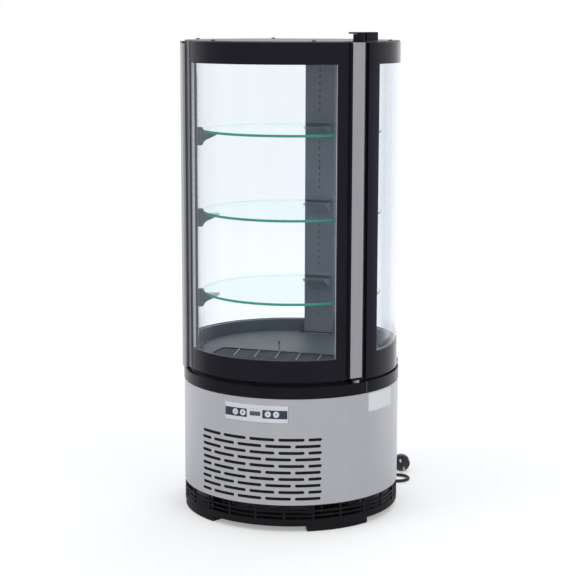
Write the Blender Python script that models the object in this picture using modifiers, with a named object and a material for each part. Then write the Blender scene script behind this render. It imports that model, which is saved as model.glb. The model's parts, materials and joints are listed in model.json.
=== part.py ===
"""A round refrigerated display case of about 100 litres, as an assembly of its separate pieces.

The case stands on the floor at z = 0 with its axis on the Z axis. The door faces -Y, and X runs to
the right of someone who looks at the door. Angles named phi are in degrees round the axis, 0 at the
middle of the front and positive towards +X. All lengths are in metres.
"""

import math

import bmesh
import bpy
from mathutils import Matrix, Vector

# The radius of the outer glass drives every other radius
GLASS_R = 0.2210

GAP = 0.0003
CUT_PAST = 0.0100
ARC_GAP = 0.0006
FULL_TURN = 360.0
RING_STEPS = 48
ARC_STEP = 7.5
OPENING_STEP = 15.0

# Body of the machine compartment
STEEL_R = GLASS_R + 0.0030
STEEL_WALL = 0.0010
BASE_R = STEEL_R - 0.0050
BASE_WALL = 0.0040
BASE_PLATE = 0.0040
FOOT_H = 0.0110
BASE_H = 0.0546
BASE_COLLAR_R = STEEL_R - STEEL_WALL - 0.0005
BASE_COLLAR_H = 0.0080
STEEL_TOP = BASE_H + 0.2167
RING_R = STEEL_R + 0.0008
RING_SKIRT = 0.0240
RING_FLANGE = 0.0040
RING_BORE_R = GLASS_R - 0.0330
RING_WALL = 0.0030
SEAT_R = GLASS_R - 0.0070
SEAT_H = 0.0034
COLLAR_R = GLASS_R - 0.0222
COLLAR_T = 0.0035
COLLAR_H = 0.0290

# Louvre rows of the base skirt, each a bottom and a top height
LOUVRES = ((0.0254, 0.0313), (0.0343, 0.0400), (0.0442, 0.0536))
LOUVRE_PITCH = 15.0
LOUVRE_RIB = 1.4

# Feet
FOOT_FROM = 27.0
FOOT_TO = 62.5
FOOT_DEPTH = 0.0230
FOOT_CHAMFER = 0.0020

# Front and rear grilles of the steel wrap
SLOT_H = 0.0062
SLOT_ROW_Z = 0.0682
SLOT_ROW_PITCH = 0.0134
FRONT_ROWS = 10
SLOT_LONG = 13.3
SLOT_GAP = 2.0
GRILLE_HALF = 34.4
REAR_ROWS = 3
REAR_FIRST_ROW = 1
REAR_HALF = 22.0
SLOT_END_STEPS = 2

# Control panel, its push buttons and its display
PANEL_HALF = 17.0
PANEL_Z0 = STEEL_TOP - 0.0480
PANEL_Z1 = STEEL_TOP - 0.0133
PANEL_T = 0.0064
PANEL_PROUD = 0.0014
BUTTON_PHI = (-10.95, -6.70, 6.70, 10.95)
BUTTON_Z = STEEL_TOP - 0.0308
BUTTON_R = 0.0062
BUTTON_POCKET = 0.0050
BUTTON_TRAVEL = 0.0008
BUTTON_PROUD = 0.0006
BUTTON_CLEAR = 0.0004
DISPLAY_HALF = 2.75
DISPLAY_Z0 = BUTTON_Z - 0.0041
DISPLAY_Z1 = BUTTON_Z + 0.0041
DISPLAY_T = 0.0016
BOX_HALF = 20.0
BOX_DEPTH = 0.0260
BOX_Z0 = PANEL_Z0 - 0.0033
BOX_Z1 = PANEL_Z1 + 0.0020

# Curved double glazing
GLASS_T = 0.0040
GLASS_SPACE = 0.0095
GLASS_Z1 = STEEL_TOP + 0.6942
TOP_Z = GLASS_Z1 + 0.0020
ROOF_SHEET = 0.0015
FIXED_FROM = 61.0
FIXED_TO = 178.6
FIXED_BAR = 9.0
DOOR_Z0 = STEEL_TOP + 0.0322
DOOR_FROM = -57.0
DOOR_TO = 49.7
DOOR_BAR_LEFT = 6.6
DOOR_BAR_RIGHT = 6.6
GLASS_BAR_Z = 0.0410
SPACER_INSET_Z = 0.0010

# Stiles of the door
STILE_R = GLASS_R + 0.0095
STILE_ROUND = 0.0030
STILE_ROUND_STEPS = 3
HANDLE_FROM = -59.3
HANDLE_TO = -51.4
HANDLE_WEB = 1.9
HANDLE_Z0 = DOOR_Z0
HANDLE_CAP_H = 0.0038
HINGE_FROM = 50.1
HINGE_TO = 56.3
HINGE_STILE_Z0 = DOOR_Z0 + 0.0045
BUSH_H = 0.0052
BUSH_INSET = 0.0010
BUSH_STEP = 3.5

# Door hinge
HINGE_PHI = 55.0
HINGE_R = GLASS_R - 0.0050
LOWER_PIN_R = 0.00725
LOWER_PIN_SUNK = 0.0015
SPIGOT_R = 0.0030
SPIGOT_L = 0.0034
PIVOT_R = 0.0035
PIVOT_LEN = 0.0090
PIVOT_CLEAR = 0.0004
BARREL_R = 0.0114
BARREL_H = 0.0156
BARREL_RIBS = 18
BARREL_RIB_T = 0.0006
BRACKET_BAR_FROM = 51.0
BRACKET_BAR_H = 0.0032
BRACKET_BLOCK_FROM = 58.8
BRACKET_BLOCK_TO = 67.0
BRACKET_R0 = GLASS_R - 0.0190
BRACKET_R1 = GLASS_R + 0.0012
BRACKET_TOP = TOP_Z + 0.0175
NOTCH_FROM = 51.2
NOTCH_TO = 58.5
NOTCH_R = GLASS_R - 0.0215

# Gasket of the door
GASKET_Z0 = DOOR_Z0 + 0.0045
GASKET_Z1 = GLASS_Z1 - 0.0055
GASKET_BAR_Z = 0.0120
GASKET_FROM = -58.6
GASKET_TO = 54.4
GASKET_BAR = 2.6

# Posts, lamps and rear column
POST_FACE = GLASS_R - 0.0265
POST_FROM_LEFT = 56.4
POST_FROM_RIGHT = 50.4
POST_WEB_FROM = 59.7
POST_WEB_TO = 60.6
POST_WEB_R = GLASS_R - 0.0045
POST_TO = 66.2
LAMP_PHI = 64.6
LAMP_W = 0.0080
LAMP_T = 0.0025
LAMP_Z0 = DOOR_Z0 + 0.0565
LAMP_Z1 = GLASS_Z1 - 0.0655
COLUMN_HALF = 0.0365
COLUMN_FACE = GLASS_R - 0.0324
COLUMN_WALL = 0.0022
COLUMN_SLOT_W = 0.0030
COLUMN_SLOT_H = 0.0080
COLUMN_SLOT_PITCH = 0.0175
COLUMN_SLOTS = 31
COLUMN_SLOT_Z0 = DOOR_Z0 + 0.0615
REAR_COVER_HALF = 5.0
REAR_COVER_T = 0.0018

# Shelves and their clips
SHELF_R = GLASS_R - 0.0364
SHELF_T = 0.0050
SHELF_PITCH = 0.1660
SHELF_HIGH_Z = GLASS_Z1 - 0.1775
SHELF_TOP_Z = (SHELF_HIGH_Z, SHELF_HIGH_Z - SHELF_PITCH, SHELF_HIGH_Z - 2 * SHELF_PITCH)
CLIP_PHI = 60.4
CLIP_W = 0.0130
CLIP_ARM = 0.0320
CLIP_ARM_ROOT = 0.0130
CLIP_ARM_TIP = 0.0040
CLIP_ABOVE = 0.0048
CLIP_H = 0.0366
REAR_CLIP_W = 0.0500

# Tub below the floor of the chamber, and the floor
TUB_R = RING_BORE_R - 0.0008
TUB_LIP_R = COLLAR_R - COLLAR_T - 0.0018
TUB_WALL = 0.0220
TUB_Z0 = STEEL_TOP - 0.0663
TUB_BOTTOM = 0.0180
TUB_Z1 = STEEL_TOP + 0.0542
FLOOR_R = COLLAR_R - COLLAR_T - 0.0013
FLOOR_TRAY_T = 0.0022
FLOOR_PLATE_T = 0.0020
FLOOR_EDGE_Y = -0.0460
FLOOR_CORNER_R = 0.0180
SLAT_W = 0.0022
SLAT_PITCH = 0.0450
SLAT_BAYS = 7
SLAT_ARC_STEPS = 4
SLAT_RIM_W = 0.0060
RETURN_SLOTS = 3
RETURN_SLOT_W = 0.0300
ROOF_Z0 = GLASS_Z1 - 0.0385

# Refrigeration set
MOUNT_R = 0.0090
MOUNT_H = 0.0120
MOUNT_X = 0.0620
MOUNT_Y = 0.0500
COMPRESSOR_X = -0.0200
COMPRESSOR_Y = 0.0550
COMPRESSOR_R = 0.0740
COMPRESSOR_SQUASH = 0.84
COMPRESSOR_H = 0.1380
COMPRESSOR_PLATE = 0.0030
TERMINAL_IN = 0.0140
TERMINAL_OUT = 0.0200
TERMINAL_HALF = 0.0220
TERMINAL_DROP = 0.0450
TERMINAL_UNDER_SEAM = 0.0050
SEAM_LIP = 0.0030
STUB_PLACE = 0.45
STUB_R = 0.0045
STUB_H = 0.0030
COIL_HALF = 0.1080
COIL_Y = 0.0510 - STEEL_R
COIL_DEPTH = 0.0380
COIL_Z0 = 0.0450
COIL_Z1 = COIL_Z0 + 0.1300
COIL_FINS = 10
COIL_GROOVE = 0.0100
COIL_PLATE = 0.0016
COIL_PLATE_LAP = 0.0020
BEND_R = 0.0045
BEND_OUT = 0.0040
BEND_SPREAD = 0.0100
SHROUD_T = 0.0020
SHROUD_BORE_R = 0.0650
SHROUD_COLLAR = 0.0200
FAN_Z = COIL_Z0 + 0.0550
FAN_TIP_R = 0.0615
FAN_HUB_R = 0.0180
FAN_HUB_L = 0.0160
FAN_BLADES = 5
FAN_FIRST_BLADE = 5.0
FAN_ROOT_CHORD = 46.0
FAN_CHORD_GROWTH = 10.0
FAN_BLADE_T = 0.0014
FAN_CAMBER = 0.0012
SHAFT_R = 0.0024
SHAFT_L = 0.0080
MOTOR_R = 0.0290
MOTOR_L = 0.0360
MOTOR_FOOT_W = 0.0360
EVAP_HALF = 0.0950
EVAP_Y = -0.0500
EVAP_DEPTH = 0.0900
EVAP_H = 0.0600
EVAP_FINS = 7
EVAP_GROOVE = 0.0120
EVAP_FAN_Y = 0.0800
EVAP_FAN_CLEAR = 0.0040
EVAP_FAN_TIP_R = 0.0300
EVAP_FAN_HUB_R = 0.0110
EVAP_FAN_HUB_L = 0.0120
EVAP_MOTOR_R = 0.0160
EVAP_MOTOR_L = 0.0260
PAN_X = 0.1250
PAN_Y = 0.0150
PAN_W = 0.0800
PAN_L = 0.1200
PAN_H = 0.0350
PAN_WALL = 0.0020
PIPE_R = 0.0032
PIPE_SPACING = 0.0150
DISCHARGE_ROUTE = (
    (0.0820, 0.0300, 0.1150),
    (0.0900, -0.0400, 0.1150),
    (0.1300, COIL_Y + 0.0980, 0.1100),
    (0.1560, COIL_Y + 0.0680, 0.1000),
    (0.1560, COIL_Y + 0.0330, 0.0920),
)
SUCTION_END = (-0.1100, -0.0100)
SUCTION_ROUTE = (
    (-0.0620, 0.0600, TUB_Z0 - 0.0170),
    (-0.0900, 0.0400, TUB_Z0 - 0.0190),
    (-0.1080, 0.0100, TUB_Z0 - 0.0170),
)
HOSE_R = 0.0060
HOSE_OVER_PAN = 0.0100

# Pane clip at the right
CLIP_RIGHT_PHI = 112.0
PANE_CLIP_HALF = 2.2
PANE_CLIP_H = 0.0150
PANE_CLIP_T = 0.0024

# Mains lead
CORD_R = 0.0035
CORD_SIDES = 2
CORD_SPACING = 0.0165
GLAND_PHI = 166.0
GLAND_Z = 0.0800
GLAND_FLANGE_R = 0.0100
GLAND_FLANGE_T = 0.0030
GLAND_L = 0.0280
GLAND_ROOT_R = 0.0070
GLAND_TIP_R = 0.0046
COIL_CENTRE = (-0.0750, STEEL_R + 0.0560)
TURN_PITCH = 0.0075
LAYER_PITCH = 0.0075
COIL_OUTER_R = 0.0445
COIL_TURNS = 2.0
COIL_POINTS = 24
COIL_LEAD = 0.0072
PLUG_FACE = (0.1700, STEEL_R + 0.0570)
PLUG_R = 0.0185
PLUG_AXIS_PHI = 18.5
PLUG_DEPTH = 0.0190
PLUG_TAIL = 0.0240
PLUG_TAIL_R = 0.0058
PLUG_FLAT = 0.0165
PLUG_PIN_R = 0.0024
PLUG_PIN_L = 0.0190
PLUG_PIN_HALF = 0.0095
PLUG_ROLL = -24.0

# Route of the lead from the gland down to the coil, after the gland's own straight start
ROUTE_DOWN = (
    (0.0650, STEEL_R + 0.0400, 0.0760),
    (0.0685, STEEL_R + 0.0560, 0.0560),
    (0.0680, STEEL_R + 0.0690, 0.0300),
    (0.0580, STEEL_R + 0.0830, 0.0100),
    (0.0380, STEEL_R + 0.0950, 0.0040),
    (0.0100, STEEL_R + 0.1000, 0.0035),
    (-0.0250, STEEL_R + 0.1005, 0.0035),
)

# Route of the lead from the top of the coil round to the back of the plug
ROUTE_BACK = (
    (-0.0390, STEEL_R + 0.0187, 0.0080),
    (0.0020, STEEL_R + 0.0215, 0.0040),
    (0.0465, STEEL_R + 0.0150, 0.0035),
    (0.0850, STEEL_R + 0.0005, 0.0035),
    (0.1195, STEEL_R - 0.0195, 0.0035),
    (0.1515, STEEL_R - 0.0330, 0.0035),
    (0.1845, STEEL_R - 0.0305, 0.0035),
    (0.1990, STEEL_R - 0.0180, 0.0035),
    (0.2000, STEEL_R + 0.0005, 0.0035),
    (0.1880, STEEL_R + 0.0145, 0.0035),
    (0.1690, STEEL_R + 0.0160, 0.0035),
    (0.1465, STEEL_R + 0.0100, 0.0035),
    (0.1285, STEEL_R + 0.0175, 0.0035),
    (0.1190, STEEL_R + 0.0360, 0.0035),
    (0.1105, STEEL_R + 0.0620, 0.0035),
    (0.1020, STEEL_R + 0.0865, 0.0035),
    (0.1030, STEEL_R + 0.1095, 0.0050),
    (0.1190, STEEL_R + 0.1230, 0.0095),
    (0.1400, STEEL_R + 0.1215, 0.0155),
)

PARTS = "refrigerated_display_case"
CUTTERS = "cutters"


def clear_scene():
    """Empty the scene and add the two collections."""
    for obj in list(bpy.data.objects):
        bpy.data.objects.remove(obj, do_unlink=True)
    for name in (PARTS, CUTTERS):
        bpy.context.scene.collection.children.link(bpy.data.collections.new(name))


def finish(name, color, roughness, metallic=0.0, alpha=1.0):
    """A Principled material."""
    mat = bpy.data.materials.new(name)
    mat.use_nodes = True
    shader = mat.node_tree.nodes["Principled BSDF"]
    shader.inputs["Base Color"].default_value = (*color, 1.0)
    shader.inputs["Roughness"].default_value = roughness
    shader.inputs["Metallic"].default_value = metallic
    shader.inputs["Alpha"].default_value = alpha
    return mat


def polar(radius, phi, z=0.0):
    """The point at this radius and angle."""
    angle = math.radians(phi)
    return Vector((radius * math.sin(angle), -radius * math.cos(angle), z))


def turned_by(phi):
    """The rotation that carries the front of the case to phi."""
    return Matrix.Rotation(math.radians(phi), 4, "Z")


def add_object(name, bm, mat, cutter=False):
    """Make an object of a bmesh, with its faces pointing outwards."""
    bmesh.ops.recalc_face_normals(bm, faces=bm.faces)
    mesh = bpy.data.meshes.new(name)
    bm.to_mesh(mesh)
    bm.free()
    obj = bpy.data.objects.new(name, mesh)
    bpy.data.collections[CUTTERS if cutter else PARTS].objects.link(obj)
    if cutter:
        obj.hide_render = True
        obj.display_type = "WIRE"
    else:
        mesh.materials.append(mat)
        mesh.shade_smooth()
        mesh.set_sharp_from_angle(angle=math.radians(35))
    return obj


def boolean(obj, tool, operation="DIFFERENCE"):
    """Cut a tool from an object, or join it on. The tool's own pieces may overlap."""
    modifier = obj.modifiers.new(tool.name, "BOOLEAN")
    modifier.operation = operation
    modifier.solver = "EXACT"
    modifier.use_self = True
    modifier.object = tool
    return obj


def on_axis(name, point, pieces):
    """An empty on a joint's axis that carries the pieces which move with it."""
    pivot = bpy.data.objects.new(name, None)
    pivot.location = point
    bpy.data.collections[PARTS].objects.link(pivot)
    for piece in pieces:
        piece.parent = pivot
        piece.matrix_parent_inverse = Matrix.Translation(-Vector(point))


def rounded(obj, width, segments=2, limit=40.0):
    """Round the edges that are sharper than the limit."""
    modifier = obj.modifiers.new("rounded", "BEVEL")
    modifier.width = width
    modifier.segments = segments
    modifier.limit_method = "ANGLE"
    modifier.angle_limit = math.radians(limit)
    modifier.harden_normals = False
    return obj


def turned(name, outline, mat, steps=RING_STEPS, closed=True, cutter=False):
    """Turn an outline of (radius, height) points a full turn about the Z axis."""
    bm = bmesh.new()
    points = [bm.verts.new((radius, 0.0, height)) for radius, height in outline]
    ends = points[1:] + points[:1] if closed else points[1:]
    for start, end in zip(points, ends):
        bm.edges.new((start, end))
    mesh = bpy.data.meshes.new(name)
    bm.to_mesh(mesh)
    bm.free()
    obj = bpy.data.objects.new(name, mesh)
    bpy.data.collections[CUTTERS if cutter else PARTS].objects.link(obj)
    screw = obj.modifiers.new("turned", "SCREW")
    screw.axis = "Z"
    screw.angle = 2 * math.pi
    screw.steps = steps
    screw.render_steps = steps
    screw.use_merge_vertices = True
    screw.merge_threshold = 0.00001
    if cutter:
        obj.hide_render = True
        obj.display_type = "WIRE"
    else:
        mesh.materials.append(mat)
    return obj


def sector_bm(outline, phi0, phi1, step=ARC_STEP, bm=None):
    """Sweep a closed outline of (radius, height) points from phi0 to phi1, as a closed solid."""
    bm = bm or bmesh.new()
    before = set(bm.verts)
    corners = [bm.verts.new(polar(radius, phi0, height)) for radius, height in outline]
    face = bm.faces.new(corners)
    steps = max(1, round(abs(phi1 - phi0) / step))
    bmesh.ops.spin(
        bm,
        geom=[face, *face.edges, *face.verts],
        cent=(0, 0, 0),
        axis=(0, 0, 1),
        angle=math.radians(phi1 - phi0),
        steps=steps,
    )
    new = [v for v in bm.verts if v not in before]
    open_edges = [e for e in {e for v in new for e in v.link_edges} if e.is_boundary]
    if open_edges:
        bmesh.ops.holes_fill(bm, edges=open_edges)
    return bm


def rectangle(radius0, radius1, z0, z1):
    """The outline of a rectangular section."""
    return ((radius0, z0), (radius1, z0), (radius1, z1), (radius0, z1))


def sector(name, outline, phi0, phi1, mat, step=ARC_STEP, cutter=False):
    """An object swept round the axis."""
    return add_object(name, sector_bm(outline, phi0, phi1, step), mat, cutter)


def box_bm(low, high, bm=None, turn=None):
    """A box between two corners, turned about the axis if asked."""
    bm = bm or bmesh.new()
    low = Vector(low)
    size = Vector(high) - low
    place = Matrix.Translation(low + size / 2) @ Matrix.Diagonal((*size, 1.0))
    bmesh.ops.create_cube(bm, size=1.0, matrix=(turn @ place if turn else place))
    return bm


def box(name, low, high, mat, cutter=False, turn=None):
    """A box object."""
    return add_object(name, box_bm(low, high, None, turn), mat, cutter)


def rod_bm(radius, start, end, segments=24, tip=None, bm=None):
    """A round rod or cone between two points."""
    bm = bm or bmesh.new()
    start = Vector(start)
    run = Vector(end) - start
    place = Matrix.Translation(start + run / 2) @ run.to_track_quat("Z", "Y").to_matrix().to_4x4()
    bmesh.ops.create_cone(
        bm,
        cap_ends=True,
        segments=segments,
        radius1=radius,
        radius2=radius if tip is None else tip,
        depth=run.length,
        matrix=place,
    )
    return bm


def rod(name, radius, start, end, mat, segments=24, tip=None, cutter=False):
    """A round rod or cone object."""
    return add_object(name, rod_bm(radius, start, end, segments, tip), mat, cutter)


def lathe_bm(profile, place, steps=16, bm=None):
    """Turn a profile of (radius, distance) points, and carry its axis and start from +Y to its place."""
    bm = bm or bmesh.new()
    before = set(bm.verts)
    rows = [bm.verts.new((radius, depth, 0)) for radius, depth in profile]
    edges = [bm.edges.new(pair) for pair in zip(rows, rows[1:])]
    bmesh.ops.spin(bm, geom=rows + edges, cent=(0, 0, 0), axis=(0, 1, 0), angle=2 * math.pi, steps=steps)
    new = [v for v in bm.verts if v not in before]
    bmesh.ops.remove_doubles(bm, verts=new, dist=0.00001)
    new = [v for v in bm.verts if v not in before]
    bmesh.ops.holes_fill(bm, edges=[e for e in {e for v in new for e in v.link_edges} if e.is_boundary])
    bmesh.ops.transform(bm, matrix=place, verts=[v for v in bm.verts if v not in before])
    return bm


def prism_bm(outline, z0, z1, bm=None):
    """Extrude a closed outline of (x, y) points from z0 to z1."""
    bm = bm or bmesh.new()
    face = bm.faces.new([bm.verts.new((x, y, z0)) for x, y in outline])
    top = bmesh.ops.extrude_face_region(bm, geom=[face])
    moved = [item for item in top["geom"] if isinstance(item, bmesh.types.BMVert)]
    bmesh.ops.translate(bm, verts=moved, vec=(0, 0, z1 - z0))
    return bm


def prism(name, outline, z0, z1, mat, cutter=False):
    """An extruded object."""
    return add_object(name, prism_bm(outline, z0, z1), mat, cutter)


def smooth_route(route, spacing):
    """Points about this far apart on a smooth curve through the points of a route."""
    stops = [Vector(point) for point in route]
    stops = [2 * stops[0] - stops[1], *stops, 2 * stops[-1] - stops[-2]]
    fine = []
    for a, b, c, d in zip(stops, stops[1:], stops[2:], stops[3:]):
        for index in range(16):
            t = index / 16
            bend = (2 * a - 5 * b + 4 * c - d) * t**2 + (3 * b - a - 3 * c + d) * t**3
            fine.append(0.5 * (2 * b + (c - a) * t + bend))
    fine.append(stops[-2])
    lengths = [0.0]
    for start, end in zip(fine, fine[1:]):
        lengths.append(lengths[-1] + (end - start).length)
    count = max(2, round(lengths[-1] / spacing))
    points = []
    index = 0
    for step in range(count + 1):
        goal = lengths[-1] * step / count
        while index < len(lengths) - 2 and lengths[index + 1] < goal:
            index += 1
        share = (goal - lengths[index]) / (lengths[index + 1] - lengths[index])
        points.append(fine[index].lerp(fine[index + 1], min(1.0, share)))
    return points


def square_route(start, out, route, end, into, spacing, straight):
    """A smooth route whose two ends run straight, square to what they meet."""
    start = Vector(start)
    end = Vector(end)
    first = start + Vector(out) * straight
    last = end - Vector(into) * straight
    return [start, *smooth_route([first, *route, last], spacing), end]


def route_length(points):
    """The length along a row of points."""
    return sum((Vector(b) - Vector(a)).length for a, b in zip(points, points[1:]))


def tube(name, points, radius, mat, resolution=2, cutter=False):
    """A round tube along a row of points, as a curve with capped ends."""
    curve = bpy.data.curves.new(name, "CURVE")
    curve.dimensions = "3D"
    curve.bevel_depth = radius
    curve.bevel_resolution = resolution
    curve.use_fill_caps = True
    curve.twist_mode = "MINIMUM"
    spline = curve.splines.new("POLY")
    spline.points.add(len(points) - 1)
    for target, point in zip(spline.points, points):
        target.co = (*point, 1.0)
    if mat:
        curve.materials.append(mat)
    obj = bpy.data.objects.new(name, curve)
    bpy.data.collections[CUTTERS if cutter else PARTS].objects.link(obj)
    return obj


def tube_mesh(name, points, radius, resolution=2):
    """The same tube as a hidden mesh that can be joined to a solid."""
    obj = tube(name + "_curve", points, radius, None, resolution, cutter=True)
    mesh = bpy.data.meshes.new_from_object(obj.evaluated_get(bpy.context.evaluated_depsgraph_get()))
    bpy.data.objects.remove(obj, do_unlink=True)
    bm = bmesh.new()
    bm.from_mesh(mesh)
    bpy.data.meshes.remove(mesh)
    bmesh.ops.remove_doubles(bm, verts=bm.verts, dist=0.00001)
    return add_object(name, bm, None, cutter=True)


def slot_prism(bm, phi, z, length, height, radius0, radius1):
    """Add a round-ended slot that runs outwards from radius0 to radius1 at phi."""
    half = max(length / 2 - height / 2, 0.0)
    outline = []
    for side in (1, -1):
        for step in range(SLOT_END_STEPS + 1):
            angle = math.radians(-90 + 180 * step / SLOT_END_STEPS)
            reach = half + height / 2 * math.cos(angle)
            outline.append((side * reach, side * height / 2 * math.sin(angle)))
    face = bm.faces.new([bm.verts.new((x, -radius0, z + y)) for x, y in outline])
    grown = bmesh.ops.extrude_face_region(bm, geom=[face])
    moved = [item for item in grown["geom"] if isinstance(item, bmesh.types.BMVert)]
    bmesh.ops.translate(bm, verts=moved, vec=(0, radius0 - radius1, 0))
    bmesh.ops.rotate(bm, verts=list(face.verts) + moved, cent=(0, 0, 0), matrix=turned_by(phi).to_3x3())


def row_slots(half, flipped):
    """The start and end angle of each slot of a grille row, cut off at the grille's edge."""
    pitch = SLOT_LONG + SLOT_GAP
    start = -half - SLOT_LONG / 2 + 0.4
    slots = []
    while start < half:
        low = max(start, -half)
        high = min(start + SLOT_LONG, half)
        if high - low > 3.0:
            slots.append((-high, -low) if flipped else (low, high))
        start += pitch
    return slots


def grille_cutter(name, rows, half, first_row, centre):
    """Cutters for the staggered slots of one grille."""
    bm = bmesh.new()
    for row in range(rows):
        z = SLOT_ROW_Z + (first_row + row) * SLOT_ROW_PITCH
        for low, high in row_slots(half, flipped=row % 2 == 1):
            length = math.radians(high - low) * STEEL_R
            slot_prism(bm, centre + (low + high) / 2, z, length, SLOT_H, STEEL_R - 0.012, STEEL_R + 0.006)
    return add_object(name, bm, None, cutter=True)


def base(mats):
    """The moulded base tray with its louvred skirt, feet and compressor mounts."""
    floor = FOOT_H + BASE_PLATE
    inner = BASE_R - BASE_WALL
    collar = BASE_H + BASE_COLLAR_H
    outline = (
        (0, floor),
        (inner, floor),
        (inner, collar),
        (BASE_COLLAR_R, collar),
        (BASE_COLLAR_R, BASE_H),
        (BASE_R, BASE_H),
        (BASE_R, FOOT_H),
        (0, FOOT_H),
    )
    tray = turned("base_tray", outline, mats["black_plastic"], closed=False)
    windows = bmesh.new()
    count = round(FULL_TURN / LOUVRE_PITCH)
    for low, high in LOUVRES:
        section = rectangle(inner - 0.004, BASE_R + 0.004, low, high)
        for index in range(count):
            start = index * LOUVRE_PITCH + LOUVRE_RIB / 2
            sector_bm(section, start, start + LOUVRE_PITCH - LOUVRE_RIB, LOUVRE_PITCH, windows)
    boolean(tray, add_object("base_louvres", windows, None, cutter=True))
    feet = bmesh.new()
    outer = BASE_R - 0.0006
    section = (
        (outer - FOOT_DEPTH, 0.0),
        (outer - FOOT_CHAMFER, 0.0),
        (outer, FOOT_CHAMFER),
        (outer, FOOT_H + 0.002),
        (outer - FOOT_DEPTH, FOOT_H + 0.002),
    )
    for start in (FOOT_FROM, 180 - FOOT_TO, 180 + FOOT_FROM, 360 - FOOT_TO):
        sector_bm(section, start, start + FOOT_TO - FOOT_FROM, ARC_STEP, feet)
    boolean(tray, add_object("feet", feet, None, cutter=True), "UNION")
    mounts = bmesh.new()
    for side in (-1, 1):
        for end in (-1, 1):
            x = COMPRESSOR_X + side * MOUNT_X
            y = COMPRESSOR_Y + end * MOUNT_Y
            rod_bm(MOUNT_R, (x, y, floor - 0.002), (x, y, floor + MOUNT_H), 10, bm=mounts)
    boolean(tray, add_object("compressor_mounts", mounts, None, cutter=True), "UNION")


def wrap(mats):
    """The steel sheet round the machine compartment, with both grilles and the panel's window."""
    bottom = BASE_H + GAP
    inner = STEEL_R - STEEL_WALL
    outline = ((STEEL_R, STEEL_TOP), (STEEL_R, bottom), (inner, bottom), (inner, STEEL_TOP))
    sheet = turned("steel_wrap", outline, mats["steel"])
    boolean(sheet, grille_cutter("front_grille", FRONT_ROWS, GRILLE_HALF, 0, 0.0))
    boolean(sheet, grille_cutter("rear_grille", REAR_ROWS, REAR_HALF, REAR_FIRST_ROW, 180.0))
    window = rectangle(inner - 0.003, STEEL_R + 0.003, PANEL_Z0 - GAP, PANEL_Z1 + GAP)
    boolean(sheet, sector("panel_window", window, -PANEL_HALF - 0.1, PANEL_HALF + 0.1, None, cutter=True))
    start = polar(inner - CUT_PAST, GLAND_PHI, GLAND_Z)
    end = polar(STEEL_R + CUT_PAST, GLAND_PHI, GLAND_Z)
    hole = rod_bm(GLAND_ROOT_R + GAP, start, end, 16)
    boolean(sheet, add_object("gland_hole", hole, None, cutter=True))


def ring_top():
    """The height of the neck ring's flange."""
    return STEEL_TOP + GAP + RING_SKIRT


def post_notches(name, z0, z1, radius0, radius1):
    """Cutters where the two posts pass a ring."""
    bm = bmesh.new()
    section = rectangle(radius0, radius1, z0, z1)
    sector_bm(section, POST_FROM_RIGHT - 0.3, POST_TO + 0.3, ARC_STEP, bm)
    sector_bm(section, -POST_TO - 0.3, -POST_FROM_LEFT + 0.3, ARC_STEP, bm)
    return add_object(name, bm, None, cutter=True)


def neck(mats):
    """The black ring between the steel and the glass, with the collar that the door's gasket meets."""
    skirt = STEEL_TOP + GAP
    top = ring_top()
    seat = top + SEAT_H
    outline = (
        (COLLAR_R, seat + COLLAR_H),
        (COLLAR_R, seat),
        (SEAT_R, seat),
        (SEAT_R, top),
        (RING_R, top),
        (RING_R, skirt),
        (RING_R - RING_WALL, skirt),
        (RING_R - RING_WALL, top - RING_FLANGE),
        (RING_BORE_R, top - RING_FLANGE),
        (RING_BORE_R, seat),
        (COLLAR_R - COLLAR_T, seat),
        (COLLAR_R - COLLAR_T, seat + COLLAR_H),
    )
    ring = turned("neck_ring", outline, mats["black_plastic"])
    boolean(ring, post_notches("collar_notches", seat, seat + COLLAR_H + 0.01, RING_BORE_R, SEAT_R))
    hinge = polar(HINGE_R, HINGE_PHI)
    low = hinge + Vector((0, 0, top - LOWER_PIN_SUNK))
    high = hinge + Vector((0, 0, seat + 0.01))
    boolean(ring, rod("pin_seat", LOWER_PIN_R + GAP, low, high, None, cutter=True))


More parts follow.
